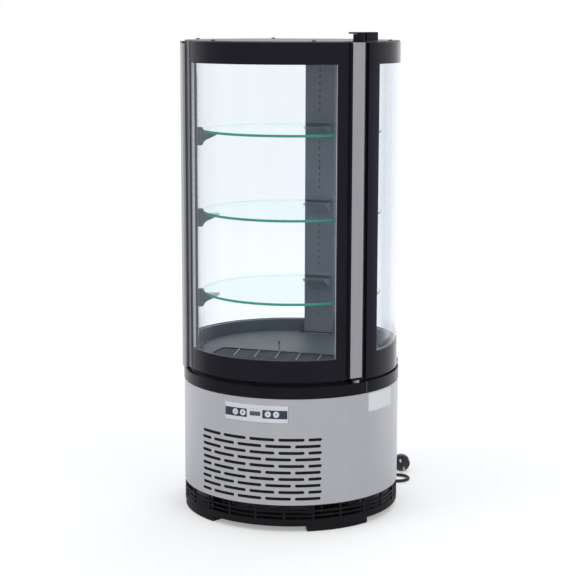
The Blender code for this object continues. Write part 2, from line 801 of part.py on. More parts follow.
def floor_unit(mats):
    """The insulated tub and the floor of the chamber."""
    seat = ring_top() + SEAT_H + GAP
    inner = TUB_R - TUB_WALL
    outline = (
        (0, TUB_Z0 + TUB_BOTTOM),
        (inner, TUB_Z0 + TUB_BOTTOM),
        (inner, TUB_Z1),
        (TUB_LIP_R, TUB_Z1),
        (TUB_LIP_R, seat),
        (TUB_R, seat),
        (TUB_R, TUB_Z0),
        (0, TUB_Z0),
    )
    tub = turned("insulated_tub", outline, mats["foam_white"], steps=24, closed=False)
    drain = rod_bm(HOSE_R + GAP, (PAN_X, PAN_Y, TUB_Z0 - 0.01), (PAN_X, PAN_Y, TUB_Z0 + 0.03), 12)
    boolean(tub, add_object("tub_drain", drain, None, cutter=True))

    tray_z = TUB_Z1 + GAP
    disc = ((0, tray_z + FLOOR_TRAY_T), (FLOOR_R, tray_z + FLOOR_TRAY_T), (FLOOR_R, tray_z), (0, tray_z))
    tray = turned("floor_tray", disc, mats["dark_plastic"], closed=False)
    slots = bmesh.new()
    for index in range(RETURN_SLOTS):
        x = (index - (RETURN_SLOTS - 1) / 2) * SLAT_PITCH
        reach = math.sqrt((FLOOR_R - 0.020) ** 2 - (abs(x) + RETURN_SLOT_W / 2) ** 2)
        low = (x - RETURN_SLOT_W / 2, -reach, tray_z - 0.01)
        box_bm(low, (x + RETURN_SLOT_W / 2, FLOOR_EDGE_Y - 0.012, tray_z + 0.01), slots)
    boolean(tray, add_object("return_slots", slots, None, cutter=True))
    outlet_low = (-COLUMN_HALF + 0.006, COLUMN_FACE - 0.030, tray_z - 0.01)
    outlet = box_bm(outlet_low, (COLUMN_HALF - 0.006, COLUMN_FACE - 0.004, tray_z + 0.01))
    boolean(tray, add_object("duct_outlet", outlet, None, cutter=True))

    plate_z = tray_z + FLOOR_TRAY_T + GAP
    top = plate_z + FLOOR_PLATE_T
    disc = ((0, top), (SHELF_R, top), (SHELF_R, plate_z), (0, plate_z))
    plate = turned("floor_plate", disc, mats["floor_grey"], closed=False)
    boolean(plate, front_opening(plate_z - 0.01, top + 0.01))
    boolean(plate, column_clearance(plate_z - 0.01, top + 0.01))


def front_opening(z0, z1):
    """The open front of the floor plate, with round corners and a row of slats left across it."""
    rim = SHELF_R - SLAT_RIM_W
    bm = bmesh.new()
    edges = [(index - SLAT_BAYS / 2) * SLAT_PITCH for index in range(SLAT_BAYS + 1)]
    edges = [max(-rim, min(rim, edge)) for edge in edges]
    for left, right in zip(edges, edges[1:]):
        low = left + SLAT_W / 2
        high = right - SLAT_W / 2
        outline = []
        for step in range(SLAT_ARC_STEPS + 1):
            x = low + (high - low) * step / SLAT_ARC_STEPS
            outline.append((x, -math.sqrt(max(rim**2 - x**2, 0.0))))
        outline = [point for point in outline if point[1] < FLOOR_EDGE_Y - FLOOR_CORNER_R / 2]
        if len(outline) < 2:
            continue
        outline.append((outline[-1][0], FLOOR_EDGE_Y))
        outline.append((outline[0][0], FLOOR_EDGE_Y))
        prism_bm(outline, z0, z1, bm)
    return add_object("floor_front_opening", bm, None, cutter=True)


def column_clearance(z0, z1):
    """Where the floor plate clears the rear column."""
    low = (-COLUMN_HALF - GAP, COLUMN_FACE - 0.0300, z0)
    return box("column_clearance", low, (COLUMN_HALF + GAP, GLASS_R, z1), None, cutter=True)


def pane(name, phi0, phi1, radius, z0, z1, mats):
    """One curved sheet of glass whose outer face has this radius."""
    return sector(name, rectangle(radius - GLASS_T, radius, z0, z1), phi0, phi1, mats["glass"])


def spacer(name, phi0, phi1, bar0, bar1, z0, z1, mats):
    """The spacer frame between two sheets, with bars of these angular widths at its two ends."""
    inner = GLASS_R - GLASS_T - GLASS_SPACE + GAP
    outer = GLASS_R - GLASS_T - GAP
    frame = sector(name, rectangle(inner, outer, z0, z1), phi0, phi1, mats["spacer"])
    opening = rectangle(inner - 0.008, outer + 0.008, z0 + GLASS_BAR_Z, z1 - GLASS_BAR_Z)
    cut = sector(name + "_opening", opening, phi0 + bar0, phi1 - bar1, None, step=OPENING_STEP, cutter=True)
    boolean(frame, cut)
    return frame


def glazing(prefix, phi0, phi1, bar0, bar1, z0, mats):
    """A double-glazed curved unit of two sheets and a spacer frame."""
    inner_r = GLASS_R - GLASS_T - GLASS_SPACE
    pane(prefix + "_outer_pane", phi0, phi1, GLASS_R, z0, GLASS_Z1, mats)
    pane(prefix + "_inner_pane", phi0, phi1, inner_r, z0, GLASS_Z1, mats)
    low = z0 + SPACER_INSET_Z
    high = GLASS_Z1 - SPACER_INSET_Z
    spacer(prefix + "_spacer", phi0, phi1, bar0, bar1, low, high, mats)


def inner_glass_r():
    """The radius of the chamber's glass face."""
    return GLASS_R - 2 * GLASS_T - GLASS_SPACE


def fixed_glass(mats):
    """The two fixed side units, which stand on the neck ring's raised seat."""
    seat = ring_top() + SEAT_H + GAP
    glazing("right", FIXED_FROM, FIXED_TO, FIXED_BAR, FIXED_BAR, seat, mats)
    glazing("left", -FIXED_TO, -FIXED_FROM, FIXED_BAR, FIXED_BAR, seat, mats)


def stile_outline(phi0, phi1, back):
    """The cross-section of a stile with round outer corners and a back of (radius, angle) points."""
    turn = math.degrees(STILE_ROUND / STILE_R)
    corners = []
    for side, centre in ((-1, phi0 + turn), (1, phi1 - turn)):
        for step in range(STILE_ROUND_STEPS + 1):
            share = step if side == 1 else STILE_ROUND_STEPS - step
            angle = math.pi / 2 * share / STILE_ROUND_STEPS
            radius = STILE_R - STILE_ROUND * (1 - math.cos(angle))
            corners.append((radius, centre + side * turn * math.sin(angle)))
    middle = len(corners) // 2
    corners.insert(middle, (STILE_R, (phi0 + phi1) / 2))
    return [tuple(polar(radius, phi).xy) for radius, phi in (*corners, *back)]


def door(mats):
    """The curved door: glazing, gasket, two stiles and the pieces on their ends."""
    glazing("door", DOOR_FROM, DOOR_TO, DOOR_BAR_LEFT, DOOR_BAR_RIGHT, DOOR_Z0, mats)
    inner = inner_glass_r()

    land = COLLAR_R + ARC_GAP
    face = inner - ARC_GAP
    section = rectangle(land, face, GASKET_Z0, GASKET_Z1)
    gasket = sector("door_gasket", section, GASKET_FROM, GASKET_TO, mats["rubber"])
    opening = rectangle(land - 0.008, face + 0.008, GASKET_Z0 + GASKET_BAR_Z, GASKET_Z1 - GASKET_BAR_Z)
    low = GASKET_FROM + GASKET_BAR
    cut = sector("gasket_opening", opening, low, GASKET_TO - GASKET_BAR, None, step=OPENING_STEP, cutter=True)
    boolean(gasket, cut)

    over = GLASS_R + ARC_GAP
    web = HANDLE_FROM + HANDLE_WEB
    middle = (HANDLE_TO + web) / 2
    rebate = ((over, HANDLE_TO), (over, middle), (over, web), (inner, web), (inner, HANDLE_FROM))
    cap_z = GLASS_Z1 - HANDLE_CAP_H
    outline = stile_outline(HANDLE_FROM, HANDLE_TO, rebate)
    prism("handle_stile", outline, HANDLE_Z0, cap_z - GAP, mats["aluminium"])
    prism("handle_cap", outline, cap_z, GLASS_Z1, mats["black_plastic"])

    back = ((inner, HINGE_TO), (inner, (HINGE_TO + HINGE_FROM) / 2), (inner, HINGE_FROM))
    outline = stile_outline(HINGE_FROM, HINGE_TO, back)
    prism("hinge_stile", outline, HINGE_STILE_Z0, GLASS_Z1, mats["aluminium"])
    cap_top = HINGE_STILE_Z0 - GAP
    low = cap_top - BUSH_H
    section = rectangle(inner, STILE_R - BUSH_INSET, low, cap_top)
    bush = sector("pivot_bush", section, HINGE_FROM, HINGE_TO, mats["black_plastic"], step=BUSH_STEP)
    start = polar(HINGE_R, HINGE_PHI, low - CUT_PAST)
    bore = rod_bm(SPIGOT_R + PIVOT_CLEAR, start, polar(HINGE_R, HINGE_PHI, low + SPIGOT_L + GAP), 16)
    boolean(bush, add_object("bush_bore", bore, None, cutter=True))


def hinge(mats):
    """The lower pin, the ribbed barrel on the door and the fixed bracket over it."""
    centre = polar(HINGE_R, HINGE_PHI)
    up = Vector((0, 0, 1))
    low = ring_top() - LOWER_PIN_SUNK + GAP
    shoulder = HINGE_STILE_Z0 - GAP - BUSH_H - GAP - low
    profile = (
        (LOWER_PIN_R, 0.0),
        (LOWER_PIN_R, shoulder),
        (SPIGOT_R, shoulder),
        (SPIGOT_R, shoulder + SPIGOT_L),
    )
    upright = Matrix.Translation(centre + up * low) @ Matrix.Rotation(math.pi / 2, 4, "X")
    add_object("hinge_pin", lathe_bm(profile, upright, 20), mats["nickel"])

    barrel_z = GLASS_Z1 + GAP
    barrel_top = barrel_z + BARREL_H
    outline = []
    for index in range(2 * BARREL_RIBS):
        angle = math.pi * index / BARREL_RIBS
        radius = BARREL_R - BARREL_RIB_T * (index % 2)
        outline.append((centre.x + radius * math.cos(angle), centre.y + radius * math.sin(angle)))
    barrel = prism("hinge_barrel", outline, barrel_z, barrel_top, mats["black_plastic"])
    deep = centre + up * (barrel_top - PIVOT_LEN)
    bore = rod_bm(PIVOT_R + PIVOT_CLEAR, deep, centre + up * (barrel_top + CUT_PAST), 16)
    boolean(barrel, add_object("barrel_bore", bore, None, cutter=True))

    bar_z = BRACKET_TOP - BRACKET_BAR_H
    block_z = TOP_Z + GAP
    section = rectangle(BRACKET_R0, BRACKET_R1, block_z, BRACKET_TOP)
    plastic = mats["black_plastic"]
    bracket = sector("hinge_bracket", section, BRACKET_BLOCK_FROM, BRACKET_BLOCK_TO, plastic, step=2.5)
    section = rectangle(BRACKET_R0, BRACKET_R1, bar_z, BRACKET_TOP)
    extra = sector_bm(section, BRACKET_BAR_FROM, BRACKET_BLOCK_FROM + 1.0, 2.5)
    boolean(bracket, add_object("bracket_bar", extra, None, cutter=True), "UNION")
    pivot = rod_bm(PIVOT_R, centre + up * (barrel_top - PIVOT_LEN + 0.001), centre + up * (bar_z + 0.001), 16)
    boolean(bracket, add_object("bracket_pivot", pivot, None, cutter=True), "UNION")


def roof(mats):
    """The insulated ceiling and the sheet on top."""
    under = TOP_Z - ROOF_SHEET
    high = under - GAP
    profile = ((0, high), (COLLAR_R, high), (COLLAR_R, ROOF_Z0), (0, ROOF_Z0))
    core = turned("roof_core", profile, mats["foam_white"], closed=False)
    boolean(core, post_notches("roof_notches", ROOF_Z0 - 0.01, high + 0.01, POST_FACE - 0.003, SEAT_R))
    sheet_r = GLASS_R - 0.0025
    profile = ((0, TOP_Z), (sheet_r, TOP_Z), (sheet_r, under), (0, under))
    sheet = turned("top_plate", profile, mats["top_grey"], closed=False)
    section = rectangle(NOTCH_R, GLASS_R + 0.01, under - 0.01, TOP_Z + 0.01)
    boolean(sheet, sector("hinge_notch", section, NOTCH_FROM, NOTCH_TO, None, cutter=True))


def post_outline(side, first):
    """The cross-section of a front post, as (x, y) points."""
    land = COLLAR_R - GAP
    behind = inner_glass_r() - ARC_GAP
    corners = (
        (land, first),
        (land, (first + POST_WEB_FROM) / 2),
        (land, POST_WEB_FROM),
        (POST_WEB_R, POST_WEB_FROM),
        (POST_WEB_R, POST_WEB_TO),
        (behind, POST_WEB_TO),
        (behind, (POST_WEB_TO + POST_TO) / 2),
        (behind, POST_TO),
    )
    points = [polar(radius, side * phi).xy for radius, phi in corners]
    mid = side * (POST_TO + POST_FROM_LEFT) / 2
    for phi in (side * POST_TO, side * POST_FROM_LEFT):
        points.append(polar(POST_FACE / math.cos(math.radians(phi - mid)), phi).xy)
    if first < POST_FROM_LEFT:
        points.append(polar(POST_FACE, side * first).xy)
    return [tuple(point) for point in points]


def clip_bm(phi, width, plate_back, top, bm):
    """Add one shelf clip: a back plate and a tapering arm under the glass."""
    front = SHELF_R + 0.0004
    glass = top - SHELF_T - GAP
    plate_top = top + CLIP_ABOVE
    plate_low = plate_top - CLIP_H
    outline = (
        (plate_back, plate_top),
        (front, plate_top - 0.002),
        (front, glass),
        (front - CLIP_ARM, glass),
        (front - CLIP_ARM, glass - CLIP_ARM_TIP),
        (front - CLIP_ARM * 0.30, glass - CLIP_ARM_ROOT * 0.62),
        (front - CLIP_ARM * 0.10, glass - CLIP_ARM_ROOT),
        (front, plate_low + 0.004),
        (front + 0.003, plate_low),
        (plate_back, plate_low),
    )
    face = bm.faces.new([bm.verts.new((-width / 2, -radius, z)) for radius, z in outline])
    grown = bmesh.ops.extrude_face_region(bm, geom=[face])
    moved = [item for item in grown["geom"] if isinstance(item, bmesh.types.BMVert)]
    bmesh.ops.translate(bm, verts=moved, vec=(width, 0, 0))
    bmesh.ops.rotate(bm, verts=list(face.verts) + moved, cent=(0, 0, 0), matrix=turned_by(phi).to_3x3())


def clips(name, phi, width, plate_back):
    """The clips of one post, one for each shelf."""
    bm = bmesh.new()
    for top in SHELF_TOP_Z:
        clip_bm(phi, width, plate_back, top, bm)
    return add_object(name, bm, None, cutter=True)


def posts(mats):
    """The two front posts with their shelf clips and lamps, and the rear column with its cover."""
    low = ring_top() + SEAT_H + GAP
    high = TOP_Z - ROOF_SHEET - GAP
    for name, side, first in (("right", 1, POST_FROM_RIGHT), ("left", -1, POST_FROM_LEFT)):
        post = prism(f"post_{name}", post_outline(side, first), low, high, mats["dark_plastic"])
        boolean(post, clips(f"clips_{name}", side * CLIP_PHI, CLIP_W, POST_FACE + 0.002), "UNION")
        mid = side * (POST_TO + POST_FROM_LEFT) / 2
        across = math.tan(math.radians(side * LAMP_PHI - mid)) * POST_FACE
        lamp_low = (across - LAMP_W / 2, -POST_FACE + GAP, LAMP_Z0)
        lamp_high = (across + LAMP_W / 2, -POST_FACE + GAP + LAMP_T, LAMP_Z1)
        box(f"lamp_{name}", lamp_low, lamp_high, mats["lamp"], turn=turned_by(mid))

    foot = TUB_Z1 + FLOOR_TRAY_T + 2 * GAP
    back = math.sqrt((inner_glass_r() - ARC_GAP) ** 2 - COLUMN_HALF**2)
    inside = COLUMN_HALF - COLUMN_WALL
    outline = (
        (-COLUMN_HALF, COLUMN_FACE),
        (COLUMN_HALF, COLUMN_FACE),
        (COLUMN_HALF, back),
        (inside, back),
        (inside, COLUMN_FACE + COLUMN_WALL),
        (-inside, COLUMN_FACE + COLUMN_WALL),
        (-inside, back),
        (-COLUMN_HALF, back),
    )
    column = prism("rear_column", outline, foot, ROOF_Z0 - GAP, mats["dark_plastic"])
    boolean(column, clips("clips_rear", 180.0, REAR_CLIP_W, COLUMN_FACE + 0.001), "UNION")
    slots = bmesh.new()
    for index in range(COLUMN_SLOTS):
        z = COLUMN_SLOT_Z0 + index * COLUMN_SLOT_PITCH
        if all(abs(z - (top + CLIP_ABOVE - CLIP_H / 2)) > CLIP_H / 2 + COLUMN_SLOT_H for top in SHELF_TOP_Z):
            slot_low = (-COLUMN_SLOT_W / 2, COLUMN_FACE - 0.004, z)
            box_bm(slot_low, (COLUMN_SLOT_W / 2, COLUMN_FACE + COLUMN_WALL + 0.001, z + COLUMN_SLOT_H), slots)
    boolean(column, add_object("column_slots", slots, None, cutter=True))

    cover_r = GLASS_R + ARC_GAP
    section = rectangle(cover_r, cover_r + REAR_COVER_T, ring_top() + GAP, GLASS_Z1)
    start = 180 - REAR_COVER_HALF
    sector("rear_cover", section, start, start + 2 * REAR_COVER_HALF, mats["black_plastic"], step=5.0)


def shelves(mats):
    """Three round glass shelves on their clips."""
    for number, top in enumerate(SHELF_TOP_Z, start=1):
        low = top - SHELF_T
        outline = ((0, top), (SHELF_R, top), (SHELF_R, low), (0, low))
        turned(f"shelf_{number}", outline, mats["glass"], closed=False)


def control_panel(mats):
    """The control panel in the steel wrap, with its buttons, display and electronics box."""
    front = STEEL_R + PANEL_PROUD
    back = front - PANEL_T
    section = rectangle(back, front, PANEL_Z0, PANEL_Z1)
    panel = sector("control_panel", section, -PANEL_HALF, PANEL_HALF, mats["panel_grey"], step=3.4)
    pocket_r = BUTTON_R + BUTTON_CLEAR
    pockets = bmesh.new()
    for phi in BUTTON_PHI:
        start = polar(front - BUTTON_POCKET, phi, BUTTON_Z)
        rod_bm(pocket_r, start, polar(front + CUT_PAST, phi, BUTTON_Z), 16, bm=pockets)
    boolean(panel, add_object("button_pockets", pockets, None, cutter=True))
    section = rectangle(front - DISPLAY_T - GAP, front + 0.004, DISPLAY_Z0 - GAP, DISPLAY_Z1 + GAP)
    margin = math.degrees(GAP / STEEL_R)
    half = DISPLAY_HALF + margin
    boolean(panel, sector("display_recess", section, -half, half, None, cutter=True))
    section = rectangle(front - DISPLAY_T, front, DISPLAY_Z0, DISPLAY_Z1)
    sector("display_window", section, -DISPLAY_HALF, DISPLAY_HALF, mats["display"])
    for number, phi in enumerate(BUTTON_PHI, start=1):
        inner = front - BUTTON_POCKET + BUTTON_TRAVEL + GAP
        start = polar(inner, phi, BUTTON_Z)
        end = polar(front + BUTTON_PROUD, phi, BUTTON_Z)
        rod(f"button_{number}", BUTTON_R, start, end, mats["button_white"], 16)
    section = rectangle(back - GAP - BOX_DEPTH, back - GAP, BOX_Z0, BOX_Z1)
    case = sector("control_box", section, -BOX_HALF, BOX_HALF, mats["dark_plastic"])
    rounded(case, 0.0015, 1, 60.0)


def finned_block(name, half, y0, depth, z0, z1, fins, groove, mat):
    """A finned heat exchanger core: a block whose front and back are folded into upright fins."""
    front = y0
    back = y0 + depth
    pitch = 2 * half / fins
    outline = []
    for index in range(fins):
        left = -half + index * pitch
        middle = left + pitch / 2
        outline += [(left, front), (middle, front), (middle, front + groove), (left + pitch, front + groove)]
    outline[-1] = (half - pitch * 0.25, front + groove)
    outline += [(half - pitch * 0.25, front), (half, front)]
    mirrored = [(x, front + back - y) for x, y in reversed(outline)]
    return prism(name, outline + mirrored, z0, z1, mat)


def return_bends(name, half, centre_y, z0, z1, count, spread):
    """The round return bends at both ends of a heat exchanger."""
    bm = bmesh.new()
    step = (z1 - z0) / (count + 1)
    for side in (-1, 1):
        for index in range(count):
            z = z0 + step * (index + 1)
            points = [Vector((side * (half - 0.002), centre_y - spread, z))]
            for turn in range(5):
                angle = math.radians(-90 + 45 * turn)
                x = side * (half + BEND_OUT + spread * math.cos(angle))
                points.append(Vector((x, centre_y + spread * math.sin(angle), z)))
            points.append(Vector((side * (half - 0.002), centre_y + spread, z)))
            piece = tube_mesh(f"{name}_{side}_{index}", points, BEND_R, 1)
            bm.from_mesh(piece.data)
            bpy.data.objects.remove(piece, do_unlink=True)
    return add_object(name, bm, None, cutter=True)


def heat_exchangers(mats):
    """The condenser behind the front grille and the evaporator in the tub."""
    metal = mats["aluminium"]
    coil = finned_block(
        "condenser_coil", COIL_HALF, COIL_Y, COIL_DEPTH, COIL_Z0, COIL_Z1, COIL_FINS, COIL_GROOVE, metal
    )
    plates = bmesh.new()
    floor = FOOT_H + BASE_PLATE + GAP
    for side in (-1, 1):
        x = side * (COIL_HALF + COIL_PLATE / 2 - 0.0004)
        low = (x - COIL_PLATE / 2, COIL_Y - COIL_PLATE_LAP, floor)
        box_bm(low, (x + COIL_PLATE / 2, COIL_Y + COIL_DEPTH + COIL_PLATE_LAP, COIL_Z1 + 0.003), plates)
    boolean(coil, add_object("coil_plates", plates, None, cutter=True), "UNION")
    middle = COIL_Y + COIL_DEPTH / 2
    boolean(coil, return_bends("coil_bends", COIL_HALF, middle, COIL_Z0, COIL_Z1, 2, BEND_SPREAD), "UNION")

    low = TUB_Z0 + TUB_BOTTOM + GAP
    core = finned_block(
        "evaporator_coil", EVAP_HALF, EVAP_Y, EVAP_DEPTH, low, low + EVAP_H, EVAP_FINS, EVAP_GROOVE, metal
    )
    middle = EVAP_Y + EVAP_DEPTH / 2
    boolean(core, return_bends("evaporator_bends", EVAP_HALF, middle, low, low + EVAP_H, 1, 0.020), "UNION")


def fan(name, y0, z, tip_r, hub_r, hub_l, mats):
    """A bladed fan that turns about an axis along Y, with a blind bore for the motor shaft."""
    hub = rod_bm(hub_r, (0, y0, z), (0, y0 + hub_l, z), 20)
    rotor = add_object(name, hub, mats["dark_plastic"])
    blades = bmesh.new()
    middle = Vector((0, y0 + (hub_l - FAN_BLADE_T) / 2, z))
    root = hub_r * 0.86
    for index in range(FAN_BLADES):
        grid = bmesh.ops.create_grid(blades, x_segments=3, y_segments=2, size=0.5)["verts"]
        for vert in grid:
            across = vert.co.x
            along = vert.co.y + 0.5
            radius = root + (tip_r - root) * along
            angle = across * math.radians(FAN_ROOT_CHORD + FAN_CHORD_GROWTH * along)
            lift = -across * hub_l * 0.70 + FAN_CAMBER * math.cos(math.pi * across)
            vert.co = Vector((radius * math.sin(angle), lift, radius * math.cos(angle)))
        faces = list({face for vert in grid for face in vert.link_faces})
        faces = bmesh.ops.triangulate(blades, faces=faces)["faces"]
        grown = bmesh.ops.extrude_face_region(blades, geom=faces)
        raised = [item for item in grown["geom"] if isinstance(item, bmesh.types.BMVert)]
        bmesh.ops.translate(blades, verts=raised, vec=(0, FAN_BLADE_T, 0))
        angle = math.radians(FAN_FIRST_BLADE + FULL_TURN * index / FAN_BLADES)
        turn = Matrix.Translation(middle) @ Matrix.Rotation(angle, 4, "Y")
        bmesh.ops.transform(blades, matrix=turn, verts=grid + raised)
    boolean(rotor, add_object(name + "_blades", blades, None, cutter=True), "UNION")
    bore = rod_bm(SHAFT_R + GAP, (0, y0 + hub_l - SHAFT_L - 0.001, z), (0, y0 + hub_l + 0.005, z), 12)
    boolean(rotor, add_object(name + "_bore", bore, None, cutter=True))


def fan_motor(name, y0, z, radius, length, foot_z, foot_w, mats):
    """A fan motor whose shaft points to -Y, standing on a foot plate."""
    chamfer = radius * 0.14
    profile = (
        (SHAFT_R, -SHAFT_L),
        (SHAFT_R, 0.0),
        (radius - chamfer, 0.0),
        (radius, chamfer),
        (radius, length - chamfer),
        (radius - chamfer, length),
    )
    motor = add_object(name, lathe_bm(profile, Matrix.Translation((0, y0, z))), mats["motor"])
    extra = box_bm((-foot_w / 2, y0 + length * 0.35, foot_z), (foot_w / 2, y0 + length * 0.55, z))
    base_low = (-foot_w / 2, y0 + length * 0.05, foot_z)
    box_bm(base_low, (foot_w / 2, y0 + length * 0.85, foot_z + 0.002), extra)
    boolean(motor, add_object(name + "_foot", extra, None, cutter=True), "UNION")


def shroud_y():
    """Where the front of the condenser's shroud meets the coil's end plates."""
    return COIL_Y + COIL_DEPTH + COIL_PLATE_LAP + GAP


def condenser_fan_y():
    """Where the condenser fan's hub starts."""
    return shroud_y() + SHROUD_T


def evaporator_fan_z():
    """The height of the evaporator fan's axis over the floor of the tub."""
    return TUB_Z0 + TUB_BOTTOM + GAP + EVAP_FAN_TIP_R + EVAP_FAN_CLEAR


def fans(mats):
    """Both fans with their motors, and the condenser's shroud."""
    floor = FOOT_H + BASE_PLATE + GAP
    plate_y = shroud_y()
    half = COIL_HALF + COIL_PLATE
    high = (half, plate_y + SHROUD_T, COIL_Z1)
    shroud = box("fan_shroud", (-half, plate_y, floor), high, mats["galvanised"])
    collar_r = SHROUD_BORE_R + SHROUD_T
    collar = rod_bm(collar_r, (0, plate_y + SHROUD_T / 2, FAN_Z), (0, plate_y + SHROUD_COLLAR, FAN_Z), 30)
    boolean(shroud, add_object("shroud_collar", collar, None, cutter=True), "UNION")
    bore = rod_bm(SHROUD_BORE_R, (0, plate_y - 0.01, FAN_Z), (0, plate_y + SHROUD_COLLAR + 0.01, FAN_Z), 30)
    boolean(shroud, add_object("shroud_bore", bore, None, cutter=True))

    fan_y = condenser_fan_y()
    fan("condenser_fan", fan_y, FAN_Z, FAN_TIP_R, FAN_HUB_R, FAN_HUB_L, mats)
    fan_motor("condenser_motor", fan_y + FAN_HUB_L + GAP, FAN_Z, MOTOR_R, MOTOR_L, floor, MOTOR_FOOT_W, mats)

    z = evaporator_fan_z()
    foot = TUB_Z0 + TUB_BOTTOM + GAP
    fan("evaporator_fan", EVAP_FAN_Y, z, EVAP_FAN_TIP_R, EVAP_FAN_HUB_R, EVAP_FAN_HUB_L, mats)
    motor_y = EVAP_FAN_Y + EVAP_FAN_HUB_L + GAP
    fan_motor("evaporator_motor", motor_y, z, EVAP_MOTOR_R, EVAP_MOTOR_L, foot, EVAP_MOTOR_R * 1.2, mats)


def compressor(mats):
    """The hermetic compressor on its plate."""
    floor = FOOT_H + BASE_PLATE
    plate_z = floor + MOUNT_H + GAP
    low = plate_z + COMPRESSOR_PLATE - 0.001
    radius = COMPRESSOR_R
    seam = low + COMPRESSOR_H * 0.52
    top = low + COMPRESSOR_H
    outline = (
        (0, top),
        (radius * 0.70, top - 0.010),
        (radius * 0.96, top - 0.036),
        (radius, seam + 0.003),
        (radius + SEAM_LIP, seam + 0.003),
        (radius + SEAM_LIP, seam - 0.002),
        (radius, seam - 0.002),
        (radius * 0.95, low + 0.028),
        (radius * 0.72, low + 0.006),
        (radius * 0.40, low),
        (0, low),
    )
    shell = turned("compressor", outline, mats["compressor_black"], steps=20, closed=False)
    shell.location = (COMPRESSOR_X, COMPRESSOR_Y, 0)
    shell.scale = (1.0, COMPRESSOR_SQUASH, 1.0)
    reach_x = MOUNT_X + MOUNT_R
    reach_y = MOUNT_Y + MOUNT_R
    extra = bmesh.new()
    plate_low = (COMPRESSOR_X - reach_x, COMPRESSOR_Y - reach_y, plate_z)
    box_bm(plate_low, (COMPRESSOR_X + reach_x, COMPRESSOR_Y + reach_y, plate_z + COMPRESSOR_PLATE), extra)
    plate = add_object("compressor_plate", extra, None, cutter=True)
    boolean(shell, plate, "UNION")
    side = COMPRESSOR_X - radius
    low = (side - TERMINAL_IN, COMPRESSOR_Y - TERMINAL_HALF, seam - TERMINAL_DROP)
    high = (side + TERMINAL_OUT, COMPRESSOR_Y + TERMINAL_HALF, seam - TERMINAL_UNDER_SEAM)
    cover = box_bm(low, high)
    boolean(shell, add_object("terminal_cover", cover, None, cutter=True), "UNION")
    stub_x = COMPRESSOR_X - radius * STUB_PLACE
    stub = rod_bm(STUB_R, (stub_x, COMPRESSOR_Y, top - 0.020), (stub_x, COMPRESSOR_Y, top + STUB_H), 12)
    boolean(shell, add_object("suction_stub", stub, None, cutter=True), "UNION")
    return Vector((stub_x, COMPRESSOR_Y, top + STUB_H)), seam


def pipework(mats, stub, seam):
    """Discharge and suction pipes, condensate pan and drain hose."""
    floor = FOOT_H + BASE_PLATE + GAP
    along = Vector((1, 0, 0))
    start = Vector((COMPRESSOR_X + COMPRESSOR_R + SEAM_LIP + GAP, COMPRESSOR_Y, seam))
    bend = COIL_HALF + BEND_OUT + BEND_SPREAD + BEND_R
    end = Vector((bend + GAP, COIL_Y + COIL_DEPTH / 2, COIL_Z0 + (COIL_Z1 - COIL_Z0) / 3))
    pipe = square_route(start, along, DISCHARGE_ROUTE, end, -along, PIPE_SPACING, 2 * PIPE_R)
    tube("discharge_pipe", pipe, PIPE_R, mats["copper"], 1)

    up = Vector((0, 0, 1))
    start = stub + up * GAP
    end = Vector((*SUCTION_END, TUB_Z0 - GAP))
    pipe = square_route(start, up, SUCTION_ROUTE, end, up, PIPE_SPACING, PIPE_R)
    tube("suction_pipe", pipe, PIPE_R, mats["copper"], 1)

    low = (PAN_X - PAN_W / 2, PAN_Y - PAN_L / 2, floor)
    high = (PAN_X + PAN_W / 2, PAN_Y + PAN_L / 2, floor + PAN_H)
    pan = box("condensate_pan", low, high, mats["galvanised"])
    hollow_low = (low[0] + PAN_WALL, low[1] + PAN_WALL, floor + PAN_WALL)
    hollow = box_bm(hollow_low, (high[0] - PAN_WALL, high[1] - PAN_WALL, high[2] + CUT_PAST))
    boolean(pan, add_object("pan_hollow", hollow, None, cutter=True))
    drop = (PAN_X, PAN_Y, TUB_Z0 + TUB_BOTTOM - 0.002)
    end = Vector((PAN_X, PAN_Y, floor + PAN_WALL + HOSE_OVER_PAN))
    tube("drain_hose", [Vector(drop), end], HOSE_R, mats["rubber"], 4)


def pane_clip(mats):
    """The small clip that holds the lower edge of the right glass unit."""
    low = ring_top() + GAP
    outline = (
        (GLASS_R + GAP, low),
        (GLASS_R + PANE_CLIP_T, low),
        (GLASS_R + PANE_CLIP_T + 0.0006, low + PANE_CLIP_H * 0.5),
        (GLASS_R + PANE_CLIP_T - 0.0006, low + PANE_CLIP_H),
        (GLASS_R + GAP, low + PANE_CLIP_H),
    )
    start = CLIP_RIGHT_PHI - PANE_CLIP_HALF
    sector("pane_clip", outline, start, start + 2 * PANE_CLIP_HALF, mats["black_plastic"], step=1.5)


def coil_path():
    """The centre line of the coiled lead: in along the floor, up a layer at the middle, and out on top."""
    centre = Vector((*COIL_CENTRE, 0))
    inner_r = COIL_OUTER_R - COIL_TURNS * TURN_PITCH
    lower = round(COIL_TURNS * COIL_POINTS)
    climb = COIL_POINTS // 2
    points = []
    for index in range(lower + climb + lower + 1):
        angle = math.radians(90 + FULL_TURN * index / COIL_POINTS)
        if index <= lower:
            radius = COIL_OUTER_R - TURN_PITCH * index / COIL_POINTS
            rise = 0.0
        elif index <= lower + climb:
            share = (index - lower) / climb
            radius = inner_r - TURN_PITCH / 2 * min(share, 1 - share)
            rise = 0.5 - 0.5 * math.cos(math.pi * share)
        else:
            radius = inner_r + TURN_PITCH * (index - lower - climb) / COIL_POINTS
            rise = 1.0
        height = CORD_R + rise * LAYER_PITCH
        points.append(centre + Vector((radius * math.cos(angle), radius * math.sin(angle), height)))
    return [points[0] + Vector((COIL_LEAD, 0, 0)), *points, points[-1] + Vector((COIL_LEAD, 0, 0))]


def on_floor(points):
    """The points of the lead, none below where it lies on the floor."""
    for point in points:
        point.z = max(point.z, CORD_R)
    return points


